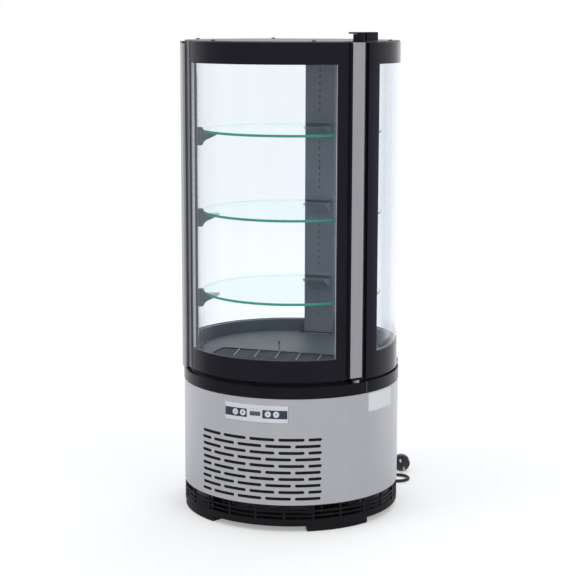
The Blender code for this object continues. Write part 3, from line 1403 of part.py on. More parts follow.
def tightest_bend(points):
    """The smallest radius of the circles through three neighbouring points of a row."""
    least = math.inf
    for a, b, c in zip(points, points[1:], points[2:]):
        area = (b - a).cross(c - a).length / 2
        if area > 1e-12:
            least = min(least, (b - a).length * (c - b).length * (c - a).length / (4 * area))
    return least


def least_gap(points, radius):
    """The smallest gap between turns of a coiled tube, measured between its points."""
    apart = COIL_POINTS // 2
    least = min(
        (points[i] - points[j]).length for i in range(len(points)) for j in range(i + apart, len(points))
    )
    return least - 2 * radius


def plug_frame():
    """The matrix that carries the plug, modelled with its face at the origin towards -Y, to its place."""
    x, y = PLUG_FACE
    place = Matrix.Translation((x, y, PLUG_R + GAP)) @ turned_by(PLUG_AXIS_PHI)
    return place @ Matrix.Rotation(math.radians(PLUG_ROLL), 4, "Y")


def plug(mats):
    """The round moulded plug with its two pins and side grooves."""
    frame = plug_frame()
    profile = (
        (PLUG_R - 0.001, 0.0),
        (PLUG_R, 0.001),
        (PLUG_R, PLUG_DEPTH - 0.003),
        (PLUG_R * 0.82, PLUG_DEPTH),
        (PLUG_R * 0.50, PLUG_DEPTH + 0.006),
        (PLUG_TAIL_R, PLUG_DEPTH + 0.012),
        (PLUG_TAIL_R * 0.85, PLUG_DEPTH + PLUG_TAIL),
    )
    bm = lathe_bm(profile, frame)
    body = add_object("mains_plug", bm, mats["cord_black"])
    grooves = bmesh.new()
    for side in (-1, 1):
        low = (min(side * PLUG_FLAT, side * 0.03), -0.005, -0.0035)
        box_bm(low, (max(side * PLUG_FLAT, side * 0.03), PLUG_DEPTH - 0.004, 0.0035), grooves, turn=frame)
    boolean(body, add_object("plug_grooves", grooves, None, cutter=True))
    pins = bmesh.new()
    for side in (-1, 1):
        low = frame @ Vector((0, 0.003, side * PLUG_PIN_HALF))
        rod_bm(PLUG_PIN_R, low, frame @ Vector((0, -PLUG_PIN_L, side * PLUG_PIN_HALF)), 12, bm=pins)
    boolean(body, add_object("plug_pins", pins, None, cutter=True), "UNION")
    axis = (frame.to_3x3() @ Vector((0, 1, 0))).normalized()
    tail = frame @ Vector((0, PLUG_DEPTH + PLUG_TAIL, 0))
    return tail, axis


def lead(mats):
    """The gland and the mains lead: a free drop, a neat coil and a free end to the plug."""
    out = polar(1.0, GLAND_PHI)
    face = polar(STEEL_R, GLAND_PHI, GLAND_Z)
    profile = (
        (GLAND_ROOT_R, -0.0045),
        (GLAND_ROOT_R, GAP),
        (GLAND_FLANGE_R, GAP),
        (GLAND_FLANGE_R, GLAND_FLANGE_T),
        (GLAND_ROOT_R, GLAND_FLANGE_T + 0.001),
        (GLAND_TIP_R, GLAND_L),
    )
    place = Matrix.Translation(face) @ turned_by(GLAND_PHI + 180)
    add_object("cord_gland", lathe_bm(profile, place), mats["rubber"])

    exit_point = face + out * (GLAND_L + GAP)
    path = coil_path()
    print("least gap of the coil to itself, mm:", round(least_gap(path[1:-1], CORD_R) * 1000, 3))
    tube("cord_coil", path, CORD_R, mats["cord_black"], 1)

    straight = 2 * CORD_R
    along = Vector((1, 0, 0))
    down = square_route(exit_point, out, ROUTE_DOWN, path[0] + along * GAP, -along, CORD_SPACING, straight)
    tube("mains_cord", on_floor(down), CORD_R, mats["cord_black"], CORD_SIDES)

    tail, axis = plug(mats)
    start = path[-1] + along * GAP
    back = square_route(start, along, ROUTE_BACK, tail + axis * GAP, -axis, CORD_SPACING, straight)
    tube("cord_tail", on_floor(back), CORD_R, mats["cord_black"], CORD_SIDES)
    total = route_length(down) + route_length(path) + route_length(back)
    print("length of the lead, m:", round(total, 3))
    print("tightest bends, mm:", [round(tightest_bend(row) * 1000, 1) for row in (down, path[1:-1], back)])


def finishes():
    """Every material of the case."""
    return {
        "steel": finish("brushed_steel", (0.41, 0.41, 0.44), 0.38, 0.85),
        "aluminium": finish("anodised_aluminium", (0.42, 0.42, 0.44), 0.36, 0.8),
        "black_plastic": finish("black_plastic", (0.012, 0.012, 0.015), 0.32),
        "dark_plastic": finish("dark_grey_plastic", (0.07, 0.085, 0.10), 0.5),
        "glass": finish("clear_glass", (0.85, 0.93, 0.91), 0.05, 0.0, 0.3),
        "spacer": finish("spacer_metal", (0.5, 0.52, 0.55), 0.45, 0.6),
        "rubber": finish("black_rubber", (0.02, 0.02, 0.022), 0.7),
        "foam_white": finish("white_liner", (0.72, 0.73, 0.74), 0.5),
        "floor_grey": finish("grey_liner", (0.45, 0.48, 0.50), 0.45),
        "top_grey": finish("painted_sheet", (0.58, 0.57, 0.60), 0.5),
        "lamp": finish("lamp_diffuser", (0.85, 0.86, 0.88), 0.4),
        "panel_grey": finish("panel_film", (0.62, 0.66, 0.72), 0.35),
        "button_white": finish("button_white", (0.85, 0.86, 0.88), 0.35),
        "display": finish("display_window", (0.04, 0.045, 0.06), 0.15),
        "nickel": finish("nickel", (0.72, 0.70, 0.68), 0.25, 1.0),
        "galvanised": finish("galvanised_sheet", (0.50, 0.51, 0.53), 0.45, 0.8),
        "compressor_black": finish("compressor_paint", (0.015, 0.015, 0.016), 0.4),
        "motor": finish("motor_case", (0.10, 0.10, 0.11), 0.45, 0.5),
        "copper": finish("copper", (0.70, 0.36, 0.22), 0.35, 1.0),
        "cord_black": finish("cord_black", (0.035, 0.033, 0.033), 0.5),
    }


def pivots():
    """Empties on the joint axes, each carrying what moves about or along it."""
    parts = bpy.data.collections[PARTS].objects
    door_names = ("door_outer_pane", "door_inner_pane", "door_spacer", "door_gasket", "handle_stile")
    door_names += ("handle_cap", "hinge_stile", "pivot_bush", "hinge_barrel")
    on_axis("door_pivot", polar(HINGE_R, HINGE_PHI, DOOR_Z0), [parts[name] for name in door_names])
    for number, phi in enumerate(BUTTON_PHI, start=1):
        on_axis(f"button_{number}_guide", polar(STEEL_R, phi, BUTTON_Z), [parts[f"button_{number}"]])
    for number, top in enumerate(SHELF_TOP_Z, start=1):
        on_axis(f"shelf_{number}_seat", (0, 0, top - SHELF_T), [parts[f"shelf_{number}"]])
    on_axis("condenser_fan_shaft", (0, condenser_fan_y(), FAN_Z), [parts["condenser_fan"]])
    on_axis("evaporator_fan_shaft", (0, EVAP_FAN_Y, evaporator_fan_z()), [parts["evaporator_fan"]])


def main():
    """Build the whole case."""
    clear_scene()
    mats = finishes()
    base(mats)
    wrap(mats)
    neck(mats)
    floor_unit(mats)
    fixed_glass(mats)
    door(mats)
    hinge(mats)
    roof(mats)
    posts(mats)
    shelves(mats)
    control_panel(mats)
    heat_exchangers(mats)
    fans(mats)
    pipework(mats, *compressor(mats))
    pane_clip(mats)
    lead(mats)
    pivots()


main()
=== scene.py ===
"""Looks of a round refrigerated display case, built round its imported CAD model.

The case stands on the floor at z = 0 with its axis on the Z axis, and its door faces -Y. Angles named
phi are in degrees round the axis, 0 at the middle of the front and positive towards +X.
"""

import json
import logging
import math
from dataclasses import dataclass, field
from enum import Enum
from typing import Any, Callable, Iterable, Optional, Sequence

import bmesh
import bpy
from mathutils import Matrix, Vector

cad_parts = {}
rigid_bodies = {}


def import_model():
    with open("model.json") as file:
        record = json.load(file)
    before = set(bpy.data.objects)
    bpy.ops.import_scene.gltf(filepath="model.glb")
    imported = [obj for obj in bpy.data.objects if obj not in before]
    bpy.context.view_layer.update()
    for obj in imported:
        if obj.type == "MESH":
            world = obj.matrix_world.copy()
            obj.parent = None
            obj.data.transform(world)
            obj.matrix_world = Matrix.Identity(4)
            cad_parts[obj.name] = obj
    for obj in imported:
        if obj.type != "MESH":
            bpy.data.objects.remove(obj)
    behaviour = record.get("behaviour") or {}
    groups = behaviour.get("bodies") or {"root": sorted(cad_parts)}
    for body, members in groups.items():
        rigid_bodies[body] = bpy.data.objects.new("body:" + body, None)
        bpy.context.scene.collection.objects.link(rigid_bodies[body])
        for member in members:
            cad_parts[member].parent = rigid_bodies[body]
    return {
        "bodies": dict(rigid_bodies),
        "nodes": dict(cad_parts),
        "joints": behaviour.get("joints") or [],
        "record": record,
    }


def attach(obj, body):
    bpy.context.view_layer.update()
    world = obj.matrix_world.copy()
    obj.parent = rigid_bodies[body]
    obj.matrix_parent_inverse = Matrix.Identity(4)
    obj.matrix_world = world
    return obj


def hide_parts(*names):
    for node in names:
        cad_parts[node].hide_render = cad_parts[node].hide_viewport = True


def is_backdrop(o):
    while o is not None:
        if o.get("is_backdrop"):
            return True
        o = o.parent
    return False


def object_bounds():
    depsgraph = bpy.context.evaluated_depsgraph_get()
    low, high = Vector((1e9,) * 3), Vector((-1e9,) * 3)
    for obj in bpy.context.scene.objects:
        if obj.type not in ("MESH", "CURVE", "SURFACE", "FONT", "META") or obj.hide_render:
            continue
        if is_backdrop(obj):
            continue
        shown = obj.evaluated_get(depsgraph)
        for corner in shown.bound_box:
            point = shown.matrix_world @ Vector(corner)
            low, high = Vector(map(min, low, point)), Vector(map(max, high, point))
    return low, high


LOG = logging.getLogger("display_case")
Point = tuple[float, ...]
Outline = Sequence[tuple[float, float]]
Chooser = Callable[[Vector, Vector], int]

GAP = 0.0003
FINE_STEP = 1.25
FULL_STEPS = 192
CASE = "case"
DOOR = "door"

GLASS_R = 0.2210
GLASS_T = 0.0040
GLASS_SPACE = 0.0095
INNER_PANE_R = GLASS_R - GLASS_T - GLASS_SPACE
CHAMBER_R = INNER_PANE_R - GLASS_T
STEEL_R = 0.2240
GLASS_TOP = 0.9655
TOP_Z = 0.9675
RING_TOP = 0.2956
SEAT_Z = 0.2990
DOOR_Z0 = 0.3035
STILE_R = 0.2305
HINGE_R = 0.2160
HINGE_PHI = 55.0
PRINT_TOP = 0.9235
PRINT_LOW = 0.3475
FIXED_PRINT_LOW = 0.3518
SPACER_BAR = 0.0410
FIXED_SPACER_FOOT = 0.0510
HINGE_STILE_Z0 = 0.3080
COLLAR_R = 0.1988
SHELF_R = 0.1846
SHELF_T = 0.0050
SHELF_TOPS = (0.7880, 0.6220, 0.4560)
GLAND_PHI = 166.0
GLAND_Z = 0.0800
WAVE_TURN = 6.2832


class Grain(Enum):
    """Which way the fine lines of a metal run."""

    AROUND = "around"
    UPRIGHT = "upright"
    NONE = "none"


class Value:
    """A shader socket that takes part in Python arithmetic."""

    def __init__(self, graph: "Graph", socket: bpy.types.NodeSocket) -> None:
        """Wrap a socket of a graph."""
        self.graph = graph
        self.socket = socket

    def __add__(self, other: Any) -> "Value":
        """The sum."""
        return self.graph.maths("ADD", self, other)

    __radd__ = __add__

    def __mul__(self, other: Any) -> "Value":
        """The product."""
        return self.graph.maths("MULTIPLY", self, other)

    __rmul__ = __mul__

    def __truediv__(self, other: Any) -> "Value":
        """The quotient."""
        return self.graph.maths("DIVIDE", self, other)

    def __pow__(self, other: Any) -> "Value":
        """The power."""
        return self.graph.maths("POWER", self, other)


class Graph:
    """The node tree of one material or of the world."""

    def __init__(self, owner: Any, output: str = "ShaderNodeOutputMaterial") -> None:
        """Empty the owner's tree and give it an output.

        Args:
            owner: A material or a world.
            output: The type of the output node.
        """
        owner.use_nodes = True
        self.owner = owner
        self.tree = owner.node_tree
        self.tree.nodes.clear()
        self.output = self.tree.nodes.new(output)

    def node(
        self, kind: str, settings: Optional[dict] = None, inputs: Optional[dict] = None
    ) -> bpy.types.Node:
        """Add a node.

        Args:
            kind: The node's type.
            settings: Its own settings, where "stops" holds a colour ramp's (place, colour) pairs.
            inputs: What its sockets get, by name or number.

        Returns:
            The node.
        """
        node = self.tree.nodes.new(kind)
        for key, value in (settings or {}).items():
            if key == "stops":
                elements = node.color_ramp.elements
                while len(elements) < len(value):
                    elements.new(0.5)
                for element, (place, color) in zip(elements, value):
                    element.position = place
                    element.color = (*color, 1.0) if len(color) == 3 else color
            else:
                setattr(node, key, value)
        for key, value in (inputs or {}).items():
            self.feed(node.inputs[key], value)
        return node

    def feed(self, socket: bpy.types.NodeSocket, value: Any) -> None:
        """Link a value to a socket, or set it there."""
        if isinstance(value, Value):
            self.tree.links.new(value.socket, socket)
        elif isinstance(value, bpy.types.Node):
            self.tree.links.new(next(item for item in value.outputs if item.enabled), socket)
        elif isinstance(value, bpy.types.NodeSocket):
            self.tree.links.new(value, socket)
        elif socket.type == "RGBA" and len(value) == 3:
            socket.default_value = (*value, 1.0)
        else:
            socket.default_value = value

    def value(self, node: bpy.types.Node, output: Any = 0) -> Value:
        """One output of a node, for arithmetic."""
        return Value(self, node.outputs[output])

    def maths(self, operation: str, first: Any, second: Any = 0.0) -> Value:
        """The result of one Math node."""
        return self.value(self.node("ShaderNodeMath", {"operation": operation}, {0: first, 1: second}))

    def mix(self, factor: Any, first: Any, second: Any) -> bpy.types.NodeSocket:
        """A colour between two colours."""
        node = self.node("ShaderNodeMix", {"data_type": "RGBA"}, {0: factor, 6: first, 7: second})
        return node.outputs[2]

    def blend(self, factor: Any, first: Any, second: Any) -> bpy.types.Node:
        """A shader between two shaders."""
        return self.node("ShaderNodeMixShader", None, {0: factor, 1: first, 2: second})

    def place(self) -> bpy.types.NodeSocket:
        """The Object coordinates."""
        return self.node("ShaderNodeTexCoord").outputs["Object"]

    def scaled(self, scale: Point) -> bpy.types.NodeSocket:
        """The Object coordinates times a scale."""
        return self.node("ShaderNodeMapping", None, {"Vector": self.place(), "Scale": scale}).outputs[0]

    def noise(self, vector: Any, scale: float, detail: float = 2.0, rough: float = 0.5) -> Value:
        """A noise pattern from 0 to 1."""
        inputs = {"Vector": vector, "Scale": scale, "Detail": detail, "Roughness": rough}
        return self.value(self.node("ShaderNodeTexNoise", None, inputs), 0)

    def bump(self, height: Any, strength: float, distance: float) -> bpy.types.Node:
        """A Bump node for a height pattern."""
        return self.node(
            "ShaderNodeBump", None, {"Strength": strength, "Distance": distance, "Height": height}
        )

    def principled(self, **inputs: Any) -> bpy.types.Node:
        """A Principled shader, with its sockets named with _ for a space."""
        named = {key.replace("_", " "): value for key, value in inputs.items()}
        return self.node("ShaderNodeBsdfPrincipled", None, named)

    def finish(self, shader: Any) -> Any:
        """Send a shader to the output, and give the owner back."""
        self.feed(self.output.inputs["Surface"], shader)
        return self.owner


def new_graph(name: str) -> Graph:
    """The graph of a new material."""
    return Graph(bpy.data.materials.new(name))


@dataclass(frozen=True)
class Plastic:
    """A moulded plastic or rubber, with a fine grain and a little unevenness."""

    name: str
    color: Point
    roughness: float
    grain: float = 900.0
    depth: float = 0.00003
    dust: float = 0.06
    specular: float = 0.5

    def material(self) -> bpy.types.Material:
        """The finish as a material."""
        graph = new_graph(self.name)
        cloud = graph.noise(graph.place(), 14.0, 3.0)
        speck = graph.noise(graph.place(), self.grain, 2.0)
        light = tuple(min(1.0, channel * 1.25 + 0.004) for channel in self.color)
        return graph.finish(graph.principled(
            Base_Color=graph.mix(cloud, self.color, light),
            Roughness=cloud * self.dust + speck * 0.05 + (self.roughness - self.dust / 2 - 0.025),
            Specular_IOR_Level=self.specular,
            Normal=graph.bump(speck, 0.35, self.depth),
        ))


@dataclass(frozen=True)
class Metal:
    """A metal with fine brushed or drawn lines, with painted sheen streaks and a painted glow where these are
    asked for.
    """

    name: str
    color: Point
    roughness: float
    grain: Grain = Grain.NONE
    metallic: float = 1.0
    contrast: float = 0.10
    # Painted sheen: share of soft upright streaks of lighter and darker base colour that stand in for
    # reflected highlights.
    bands: float = 0.0
    # Painted glow: emission in the metal's own colour, lighting faces that lie in shade though the metal is
    # no lamp.
    painted_glow: float = 0.0

    def material(self) -> bpy.types.Material:
        """The finish as a material."""
        graph = new_graph(self.name)
        scale = {
            Grain.AROUND: (9.0, 9.0, 1500.0), Grain.UPRIGHT: (900.0, 900.0, 6.0),
            Grain.NONE: (120.0, 120.0, 120.0)
        }
        lines = graph.noise(graph.scaled(scale[self.grain]), 1.0, 3.0, 0.6)
        broad = graph.noise(graph.place(), 5.0, 2.0)
        dark = tuple(channel * (1 - self.contrast) for channel in self.color)
        light = tuple(min(1.0, channel * (1 + self.contrast)) for channel in self.color)
        # Painted sheen: upright streaks in the base colour that stand in for soft highlights reflected in the
        # metal.
        painted_sheen = graph.noise(graph.scaled((22.0, 22.0, 0.4)), 1.0, 1.0) * self.bands
        return graph.finish(graph.principled(
            Base_Color=graph.mix(lines * (0.8 - self.bands) + broad * 0.2 + painted_sheen, dark, light),
            Roughness=lines * 0.10 + broad * 0.05 + (self.roughness - 0.075),
            Metallic=self.metallic,
            # Painted glow: the metal emits its own colour to lift faces that lie in shade.
            Emission_Color=(*self.color, 1.0),
            Emission_Strength=self.painted_glow,
            Normal=graph.bump(lines, 0.12, 0.00002),
        ))


@dataclass(frozen=True)
class Painted:
    """A painted or coated sheet with a faint orange peel."""

    name: str
    color: Point
    roughness: float = 0.4
    peel: float = 350.0

    def material(self) -> bpy.types.Material:
        """The finish as a material."""
        graph = new_graph(self.name)
        cloud = graph.noise(graph.place(), 8.0, 3.0)
        peel = graph.noise(graph.place(), self.peel, 1.0)
        dark = tuple(channel * 0.93 for channel in self.color)
        return graph.finish(graph.principled(
            Base_Color=graph.mix(cloud, dark, self.color),
            Roughness=cloud * 0.08 + (self.roughness - 0.04),
            Normal=graph.bump(peel, 0.25, 0.00003),
        ))


@dataclass(frozen=True)
class ClearGlass:
    """Clear sheet glass: what lies behind shows through a faint tint, with reflections at a slant."""

    name: str
    tint: Point
    straight_on: float = 0.006
    at_a_slant: float = 1.0
    # Strength of painted upright reflection streaks.
    reflection_streaks: float = 0.014

    def material(self) -> bpy.types.Material:
        """The finish as a material."""
        graph = new_graph(self.name)
        through = graph.node("ShaderNodeBsdfTransparent", None, {"Color": self.tint})
        # Painted reflection: this film noise makes upright streaks of stronger mirroring that stand in for
        # bands of reflected light, not a film on the glass.
        film = graph.noise(graph.scaled((26.0, 26.0, 0.7)), 1.0, 2.0, 0.6)
        gloss = graph.node("ShaderNodeBsdfGlossy", None, {"Color": (0.95, 0.97, 1.0), "Roughness": 0.03})
        slant = graph.value(graph.node("ShaderNodeLayerWeight", None, {"Blend": 0.5}), "Facing")
        mirror = slant**5 * self.at_a_slant + film * self.reflection_streaks + self.straight_on
        shade = graph.blend(mirror, through, gloss)
        return graph.finish(shade)


@dataclass(frozen=True)
class GlassEdge:
    """The polished edge of a float glass sheet, green from the whole sheet, with a painted glow that stands
    in for the light the sheet carries to its edge.
    """

    name: str
    color: Point
    # Colour of the painted glow that the edge emits.
    glow: Point
    seen_through: Point = (0.84, 0.90, 0.89)

    def material(self) -> bpy.types.Material:
        """The finish as a material."""
        graph = new_graph(self.name)
        streak = graph.noise(graph.scaled((30.0, 30.0, 400.0)), 1.0, 3.0)
        dark = tuple(channel * 0.6 for channel in self.color)
        polished = graph.principled(
            Base_Color=graph.mix(streak, dark, self.color),
            Roughness=0.12,
            # Painted glow: the edge emits light though it is no lamp.
            Emission_Color=self.glow,
            Emission_Strength=0.35,
        )
        inside = graph.value(graph.node("ShaderNodeNewGeometry"), "Backfacing")
        through = graph.node("ShaderNodeBsdfTransparent", None, {"Color": self.seen_through})
        return graph.finish(graph.blend(inside, polished, through))


@dataclass(frozen=True)
class Fins:
    """A pack of thin upright metal fins, seen as fine light lines with dark lines of painted shade for the
    gaps between them.
    """

    name: str
    color: Point
    pitch: float = 0.0022

    def material(self) -> bpy.types.Material:
        """The finish as a material."""
        graph = new_graph(self.name)
        wave = graph.node(
            "ShaderNodeTexWave",
            {"wave_type": "BANDS", "bands_direction": "X"},
            {"Vector": graph.place(), "Scale": 1 / (self.pitch * WAVE_TURN), "Distortion": 0.0},
        )
        lines = graph.value(wave, 1)
        # Painted shade: the dark lines stand in for the shade in the gaps between the fins.
        dark = tuple(channel * 0.25 for channel in self.color)
        return graph.finish(graph.principled(
            Base_Color=graph.mix(lines, dark, self.color),
            Roughness=0.45,
            Metallic=0.8,
            Normal=graph.bump(lines, 0.8, 0.0006),
        ))


class Finishes:
    """Every finish of the case, made once and found by name."""

    SET = (
        # The steel's upright bands are painted sheen, standing in for soft highlights in its reflections.
        Metal("brushed steel", (0.81, 0.805, 0.83), 0.34, Grain.AROUND, 0.36, 0.08, 0.45),
        Metal("anodised aluminium", (0.60, 0.59, 0.61), 0.36, Grain.UPRIGHT, 0.35, 0.05),
        # The spacer metal has a painted glow that lifts its faces in the shade inside the glazing.
        Metal("spacer aluminium", (0.93, 0.95, 0.97), 0.40, Grain.UPRIGHT, 0.1, 0.03, painted_glow=0.14),
        Metal("nickel plate", (0.88, 0.87, 0.85), 0.26, Grain.NONE, 0.5, 0.03),
        Metal("zinc coated sheet", (0.52, 0.53, 0.55), 0.42, Grain.NONE, 0.8, 0.12),
        Metal("copper", (0.72, 0.38, 0.24), 0.32, Grain.NONE, 1.0, 0.12),
        Metal("black zinc", (0.06, 0.06, 0.065), 0.35, Grain.NONE, 0.7, 0.12),
        Plastic("black base plastic", (0.006, 0.006, 0.0075), 0.36, 1100.0, 0.00003),
        Plastic("black ring plastic", (0.006, 0.006, 0.008), 0.22, 1500.0, 0.00001, 0.05),
        Plastic("glass print", (0.0085, 0.0075, 0.013), 0.08, 500.0, 0.0, 0.03),
        Plastic("dark grey plastic", (0.105, 0.125, 0.145), 0.45, 900.0, 0.00003),
        Plastic("column grey", (0.215, 0.230, 0.275), 0.42, 900.0, 0.00002),
        Plastic("post grey", (0.23, 0.255, 0.28), 0.40, 900.0, 0.00002),
        Plastic("print back", (0.165, 0.185, 0.210), 0.40, 500.0, 0.0, specular=0.2),
        # Grey of the painted reflection on the door's print beside the handle.
        Plastic("print reflection grey", (0.27, 0.275, 0.31), 0.45, 900.0, 0.00002),
        Plastic("seal rubber", (0.018, 0.018, 0.020), 0.62, 1200.0, 0.00005),
        Plastic("cord sheath", (0.030, 0.029, 0.030), 0.48, 1400.0, 0.00004),
        Plastic("plug moulding", (0.045, 0.043, 0.044), 0.42, 1200.0, 0.00004),
        Plastic("white liner", (0.72, 0.73, 0.74), 0.42, 700.0, 0.00002),
        Plastic("milky diffuser", (0.78, 0.81, 0.84), 0.35, 600.0, 0.00001),
        Plastic("panel film", (0.76, 0.79, 0.84), 0.30, 900.0, 0.00001),
        Plastic("panel slate", (0.048, 0.058, 0.085), 0.32, 900.0, 0.00001),
        Plastic("button white", (0.76, 0.79, 0.83), 0.30, 900.0, 0.00001),
        Plastic("mark grey", (0.16, 0.18, 0.22), 0.40, 900.0, 0.00001),
        Plastic("display dark", (0.075, 0.090, 0.115), 0.12, 600.0, 0.0),
        Plastic("digit grey", (0.20, 0.22, 0.25), 0.30, 600.0, 0.0),
        Plastic("blank film", (0.90, 0.93, 0.95), 0.40, 500.0, 0.00001),
        Plastic("motor case", (0.06, 0.06, 0.065), 0.42, 500.0, 0.00004),
        Plastic("compressor paint", (0.012, 0.012, 0.013), 0.30, 300.0, 0.00004),
        Painted("top grey", (0.136, 0.132, 0.146), 0.42),
        Painted("floor grey", (0.128, 0.146, 0.172), 0.46, 500.0),
        Plastic("shaded well", (0.060, 0.066, 0.080), 0.6, 700.0, 0.00002, specular=0.15),
        # A near-black mat behind the steel's grille: painted shade.
        Plastic("grille shade mat", (0.010, 0.010, 0.011), 0.9, 1500.0, 0.0002),
        ClearGlass("clear glass", (0.991, 0.997, 1.0)),
        ClearGlass("shelf glass", (0.945, 0.980, 0.975), at_a_slant=0.45),
        # Both edges carry a painted glow; the green one is bright on the shelves' rims.
        GlassEdge("green edge", (0.06, 0.32, 0.24), (0.05, 0.34, 0.25)),
        GlassEdge("clear edge", (0.30, 0.36, 0.37), (0.45, 0.52, 0.52)),
        Fins("bare fins", (0.52, 0.53, 0.54)),
        # Near black: the condenser's black paint, made darker still as painted shade of the space behind the
        # grille.
        Fins("black fins", (0.030, 0.030, 0.032)),
    )

    def __init__(self) -> None:
        """Make every material."""
        self.made = {finish.name: finish.material() for finish in self.SET}

    def __getitem__(self, name: str) -> bpy.types.Material:
        """The material of this name."""
        return self.made[name]


def polar(radius: float, phi: float, z: float = 0.0) -> Vector:
    """The point at this radius and angle."""
    angle = math.radians(phi)
    return Vector((radius * math.sin(angle), -radius * math.cos(angle), z))


def angle_of(point: Vector) -> float:
    """The angle phi of a point."""
    return math.degrees(math.atan2(point.x, -point.y))


def about_z(degrees: float) -> Matrix:
    """The matrix of a turn about the Z axis."""
    return Matrix.Rotation(math.radians(degrees), 4, "Z")


def turned_to(phi: float, radius: float = 0.0, z: float = 0.0) -> Matrix:
    """The matrix that carries the front of the axis to a place on the case's wall, with -Y outwards."""
    return about_z(phi) @ Matrix.Translation((0, -radius, z))


def standing_out(phi: float, radius: float, z: float) -> Matrix:
    """The matrix that carries the Z axis to a place on the case's wall, pointing outwards."""
    return turned_to(phi, radius, z) @ Matrix.Rotation(math.pi / 2, 4, "X")


def band(radius0: float, radius1: float, z0: float, z1: float) -> Outline:
    """The outline of a rectangular section."""
    return ((radius0, z0), (radius1, z0), (radius1, z1), (radius0, z1))


def soft_band(radius0: float, radius1: float, z0: float, z1: float, cut: float) -> Outline:
    """The outline of a rectangular section with its four corners cut."""
    return (
        (radius0, z0 + cut), (radius0 + cut, z0), (radius1 - cut, z0), (radius1, z0 + cut),
        (radius1, z1 - cut), (radius1 - cut, z1), (radius0 + cut, z1), (radius0, z1 - cut),
    )


def sweep(bm: bmesh.types.BMesh, outline: Outline, stops: Sequence[float], step: float = FINE_STEP) -> None:
    """Sweep a closed outline of (radius, height) points through angles, as a closed solid.

    Args:
        bm: The mesh that gets the solid.
        outline: The section.
        stops: Angles in degrees where the solid starts, may change finish, and ends.
        step: The longest step between rings, in degrees.
    """
    verts = [bm.verts.new(polar(radius, stops[0], z)) for radius, z in outline]
    ring = [bm.edges.new(pair) for pair in zip(verts, verts[1:] + verts[:1])]
    made = set(verts)
    geom: list = verts + ring
    for low, high in zip(stops, stops[1:]):
        steps = max(1, math.ceil((high - low) / step - 0.001))
        spun = bmesh.ops.spin(
            bm, geom=geom, cent=(0, 0, 0), axis=(0, 0, 1), angle=math.radians(high - low), steps=steps
        )
        geom = spun["geom_last"]
    last = [item for item in geom if isinstance(item, bmesh.types.BMVert)]
    for group in (made, set(last)):
        edges = {edge for vert in group for edge in vert.link_edges if edge.is_boundary}
        bmesh.ops.holes_fill(
            bm, edges=[edge for edge in edges if edge.verts[0] in group and edge.verts[1] in group]
        )


def lathe(
    bm: bmesh.types.BMesh, profile: Outline, steps: int = FULL_STEPS, closed: bool = False,
    place: Optional[Matrix] = None
) -> None:
    """Turn a profile of (radius, height) points a full turn about the Z axis.

    Args:
        bm: The mesh that gets the shape.
        profile: The profile, which ends on the axis or is closed to a ring.
        steps: Facets in the full turn.
        closed: True where the last point joins the first.
        place: Where the shape goes from the Z axis.
    """
    before = set(bm.verts)
    verts = [bm.verts.new((0, -radius, z)) for radius, z in profile]
    ends = verts[1:] + verts[:1] if closed else verts[1:]
    edges = [bm.edges.new(pair) for pair in zip(verts, ends)]
    bmesh.ops.spin(
        bm, geom=verts + edges, cent=(0, 0, 0), axis=(0, 0, 1), angle=math.tau, steps=steps, use_merge=True
    )
    new = [vert for vert in bm.verts if vert not in before]
    bmesh.ops.remove_doubles(bm, verts=new, dist=0.000002)
    new = [vert for vert in bm.verts if vert not in before]
    open_edges = {edge for vert in new for edge in vert.link_edges if edge.is_boundary}
    if open_edges:
        bmesh.ops.holes_fill(bm, edges=list(open_edges))
    if place:
        bmesh.ops.transform(bm, matrix=place, verts=new)


def box(
    bm: bmesh.types.BMesh, low: Point, high: Point, place: Optional[Matrix] = None, bevel: float = 0.0
) -> None:
    """Add a box between two corners, with its edges rounded, and carry it to its place."""
    low_v = Vector(low)
    size = Vector(high) - low_v
    matrix = Matrix.Translation(low_v + size / 2) @ Matrix.Diagonal((*size, 1.0))
    verts = bmesh.ops.create_cube(bm, size=1.0, matrix=matrix)["verts"]
    if bevel:
        edges = list({edge for vert in verts for edge in vert.link_edges})
        before = set(bm.verts) - set(verts)
        bmesh.ops.bevel(
            bm, geom=edges, offset=bevel, offset_type="OFFSET", affect="EDGES", segments=3, profile=0.5,
            material=-1
        )
        verts = [vert for vert in bm.verts if vert not in before]
    if place:
        bmesh.ops.transform(bm, matrix=place, verts=verts)


def prism(
    bm: bmesh.types.BMesh, outline: Iterable[Point], depth: Vector, place: Optional[Matrix] = None
) -> None:
    """Extrude a closed outline of points along a vector, and carry it to its place."""
    face = bm.faces.new([bm.verts.new((*point, 0.0)[:3]) for point in outline])
    grown = bmesh.ops.extrude_face_region(bm, geom=[face])
    moved = [item for item in grown["geom"] if isinstance(item, bmesh.types.BMVert)]
    bmesh.ops.translate(bm, verts=moved, vec=depth)
    if place:
        bmesh.ops.transform(bm, matrix=place, verts=[*face.verts, *moved])


def rod(bm: bmesh.types.BMesh, radius: float, low: float, high: float, steps: int, place: Matrix) -> None:
    """Add a plain cylinder between two heights on the Z axis, and carry it to its place."""
    lathe(bm, [(0, low), (radius, low), (radius, high), (0, high)], steps, False, place)


def column_of(bm: bmesh.types.BMesh, outline: Iterable[Point], low: float, high: float) -> None:
    """Extrude an outline seen from above from one height to another."""
    prism(bm, outline, Vector((0, 0, high - low)), Matrix.Translation((0, 0, low)))


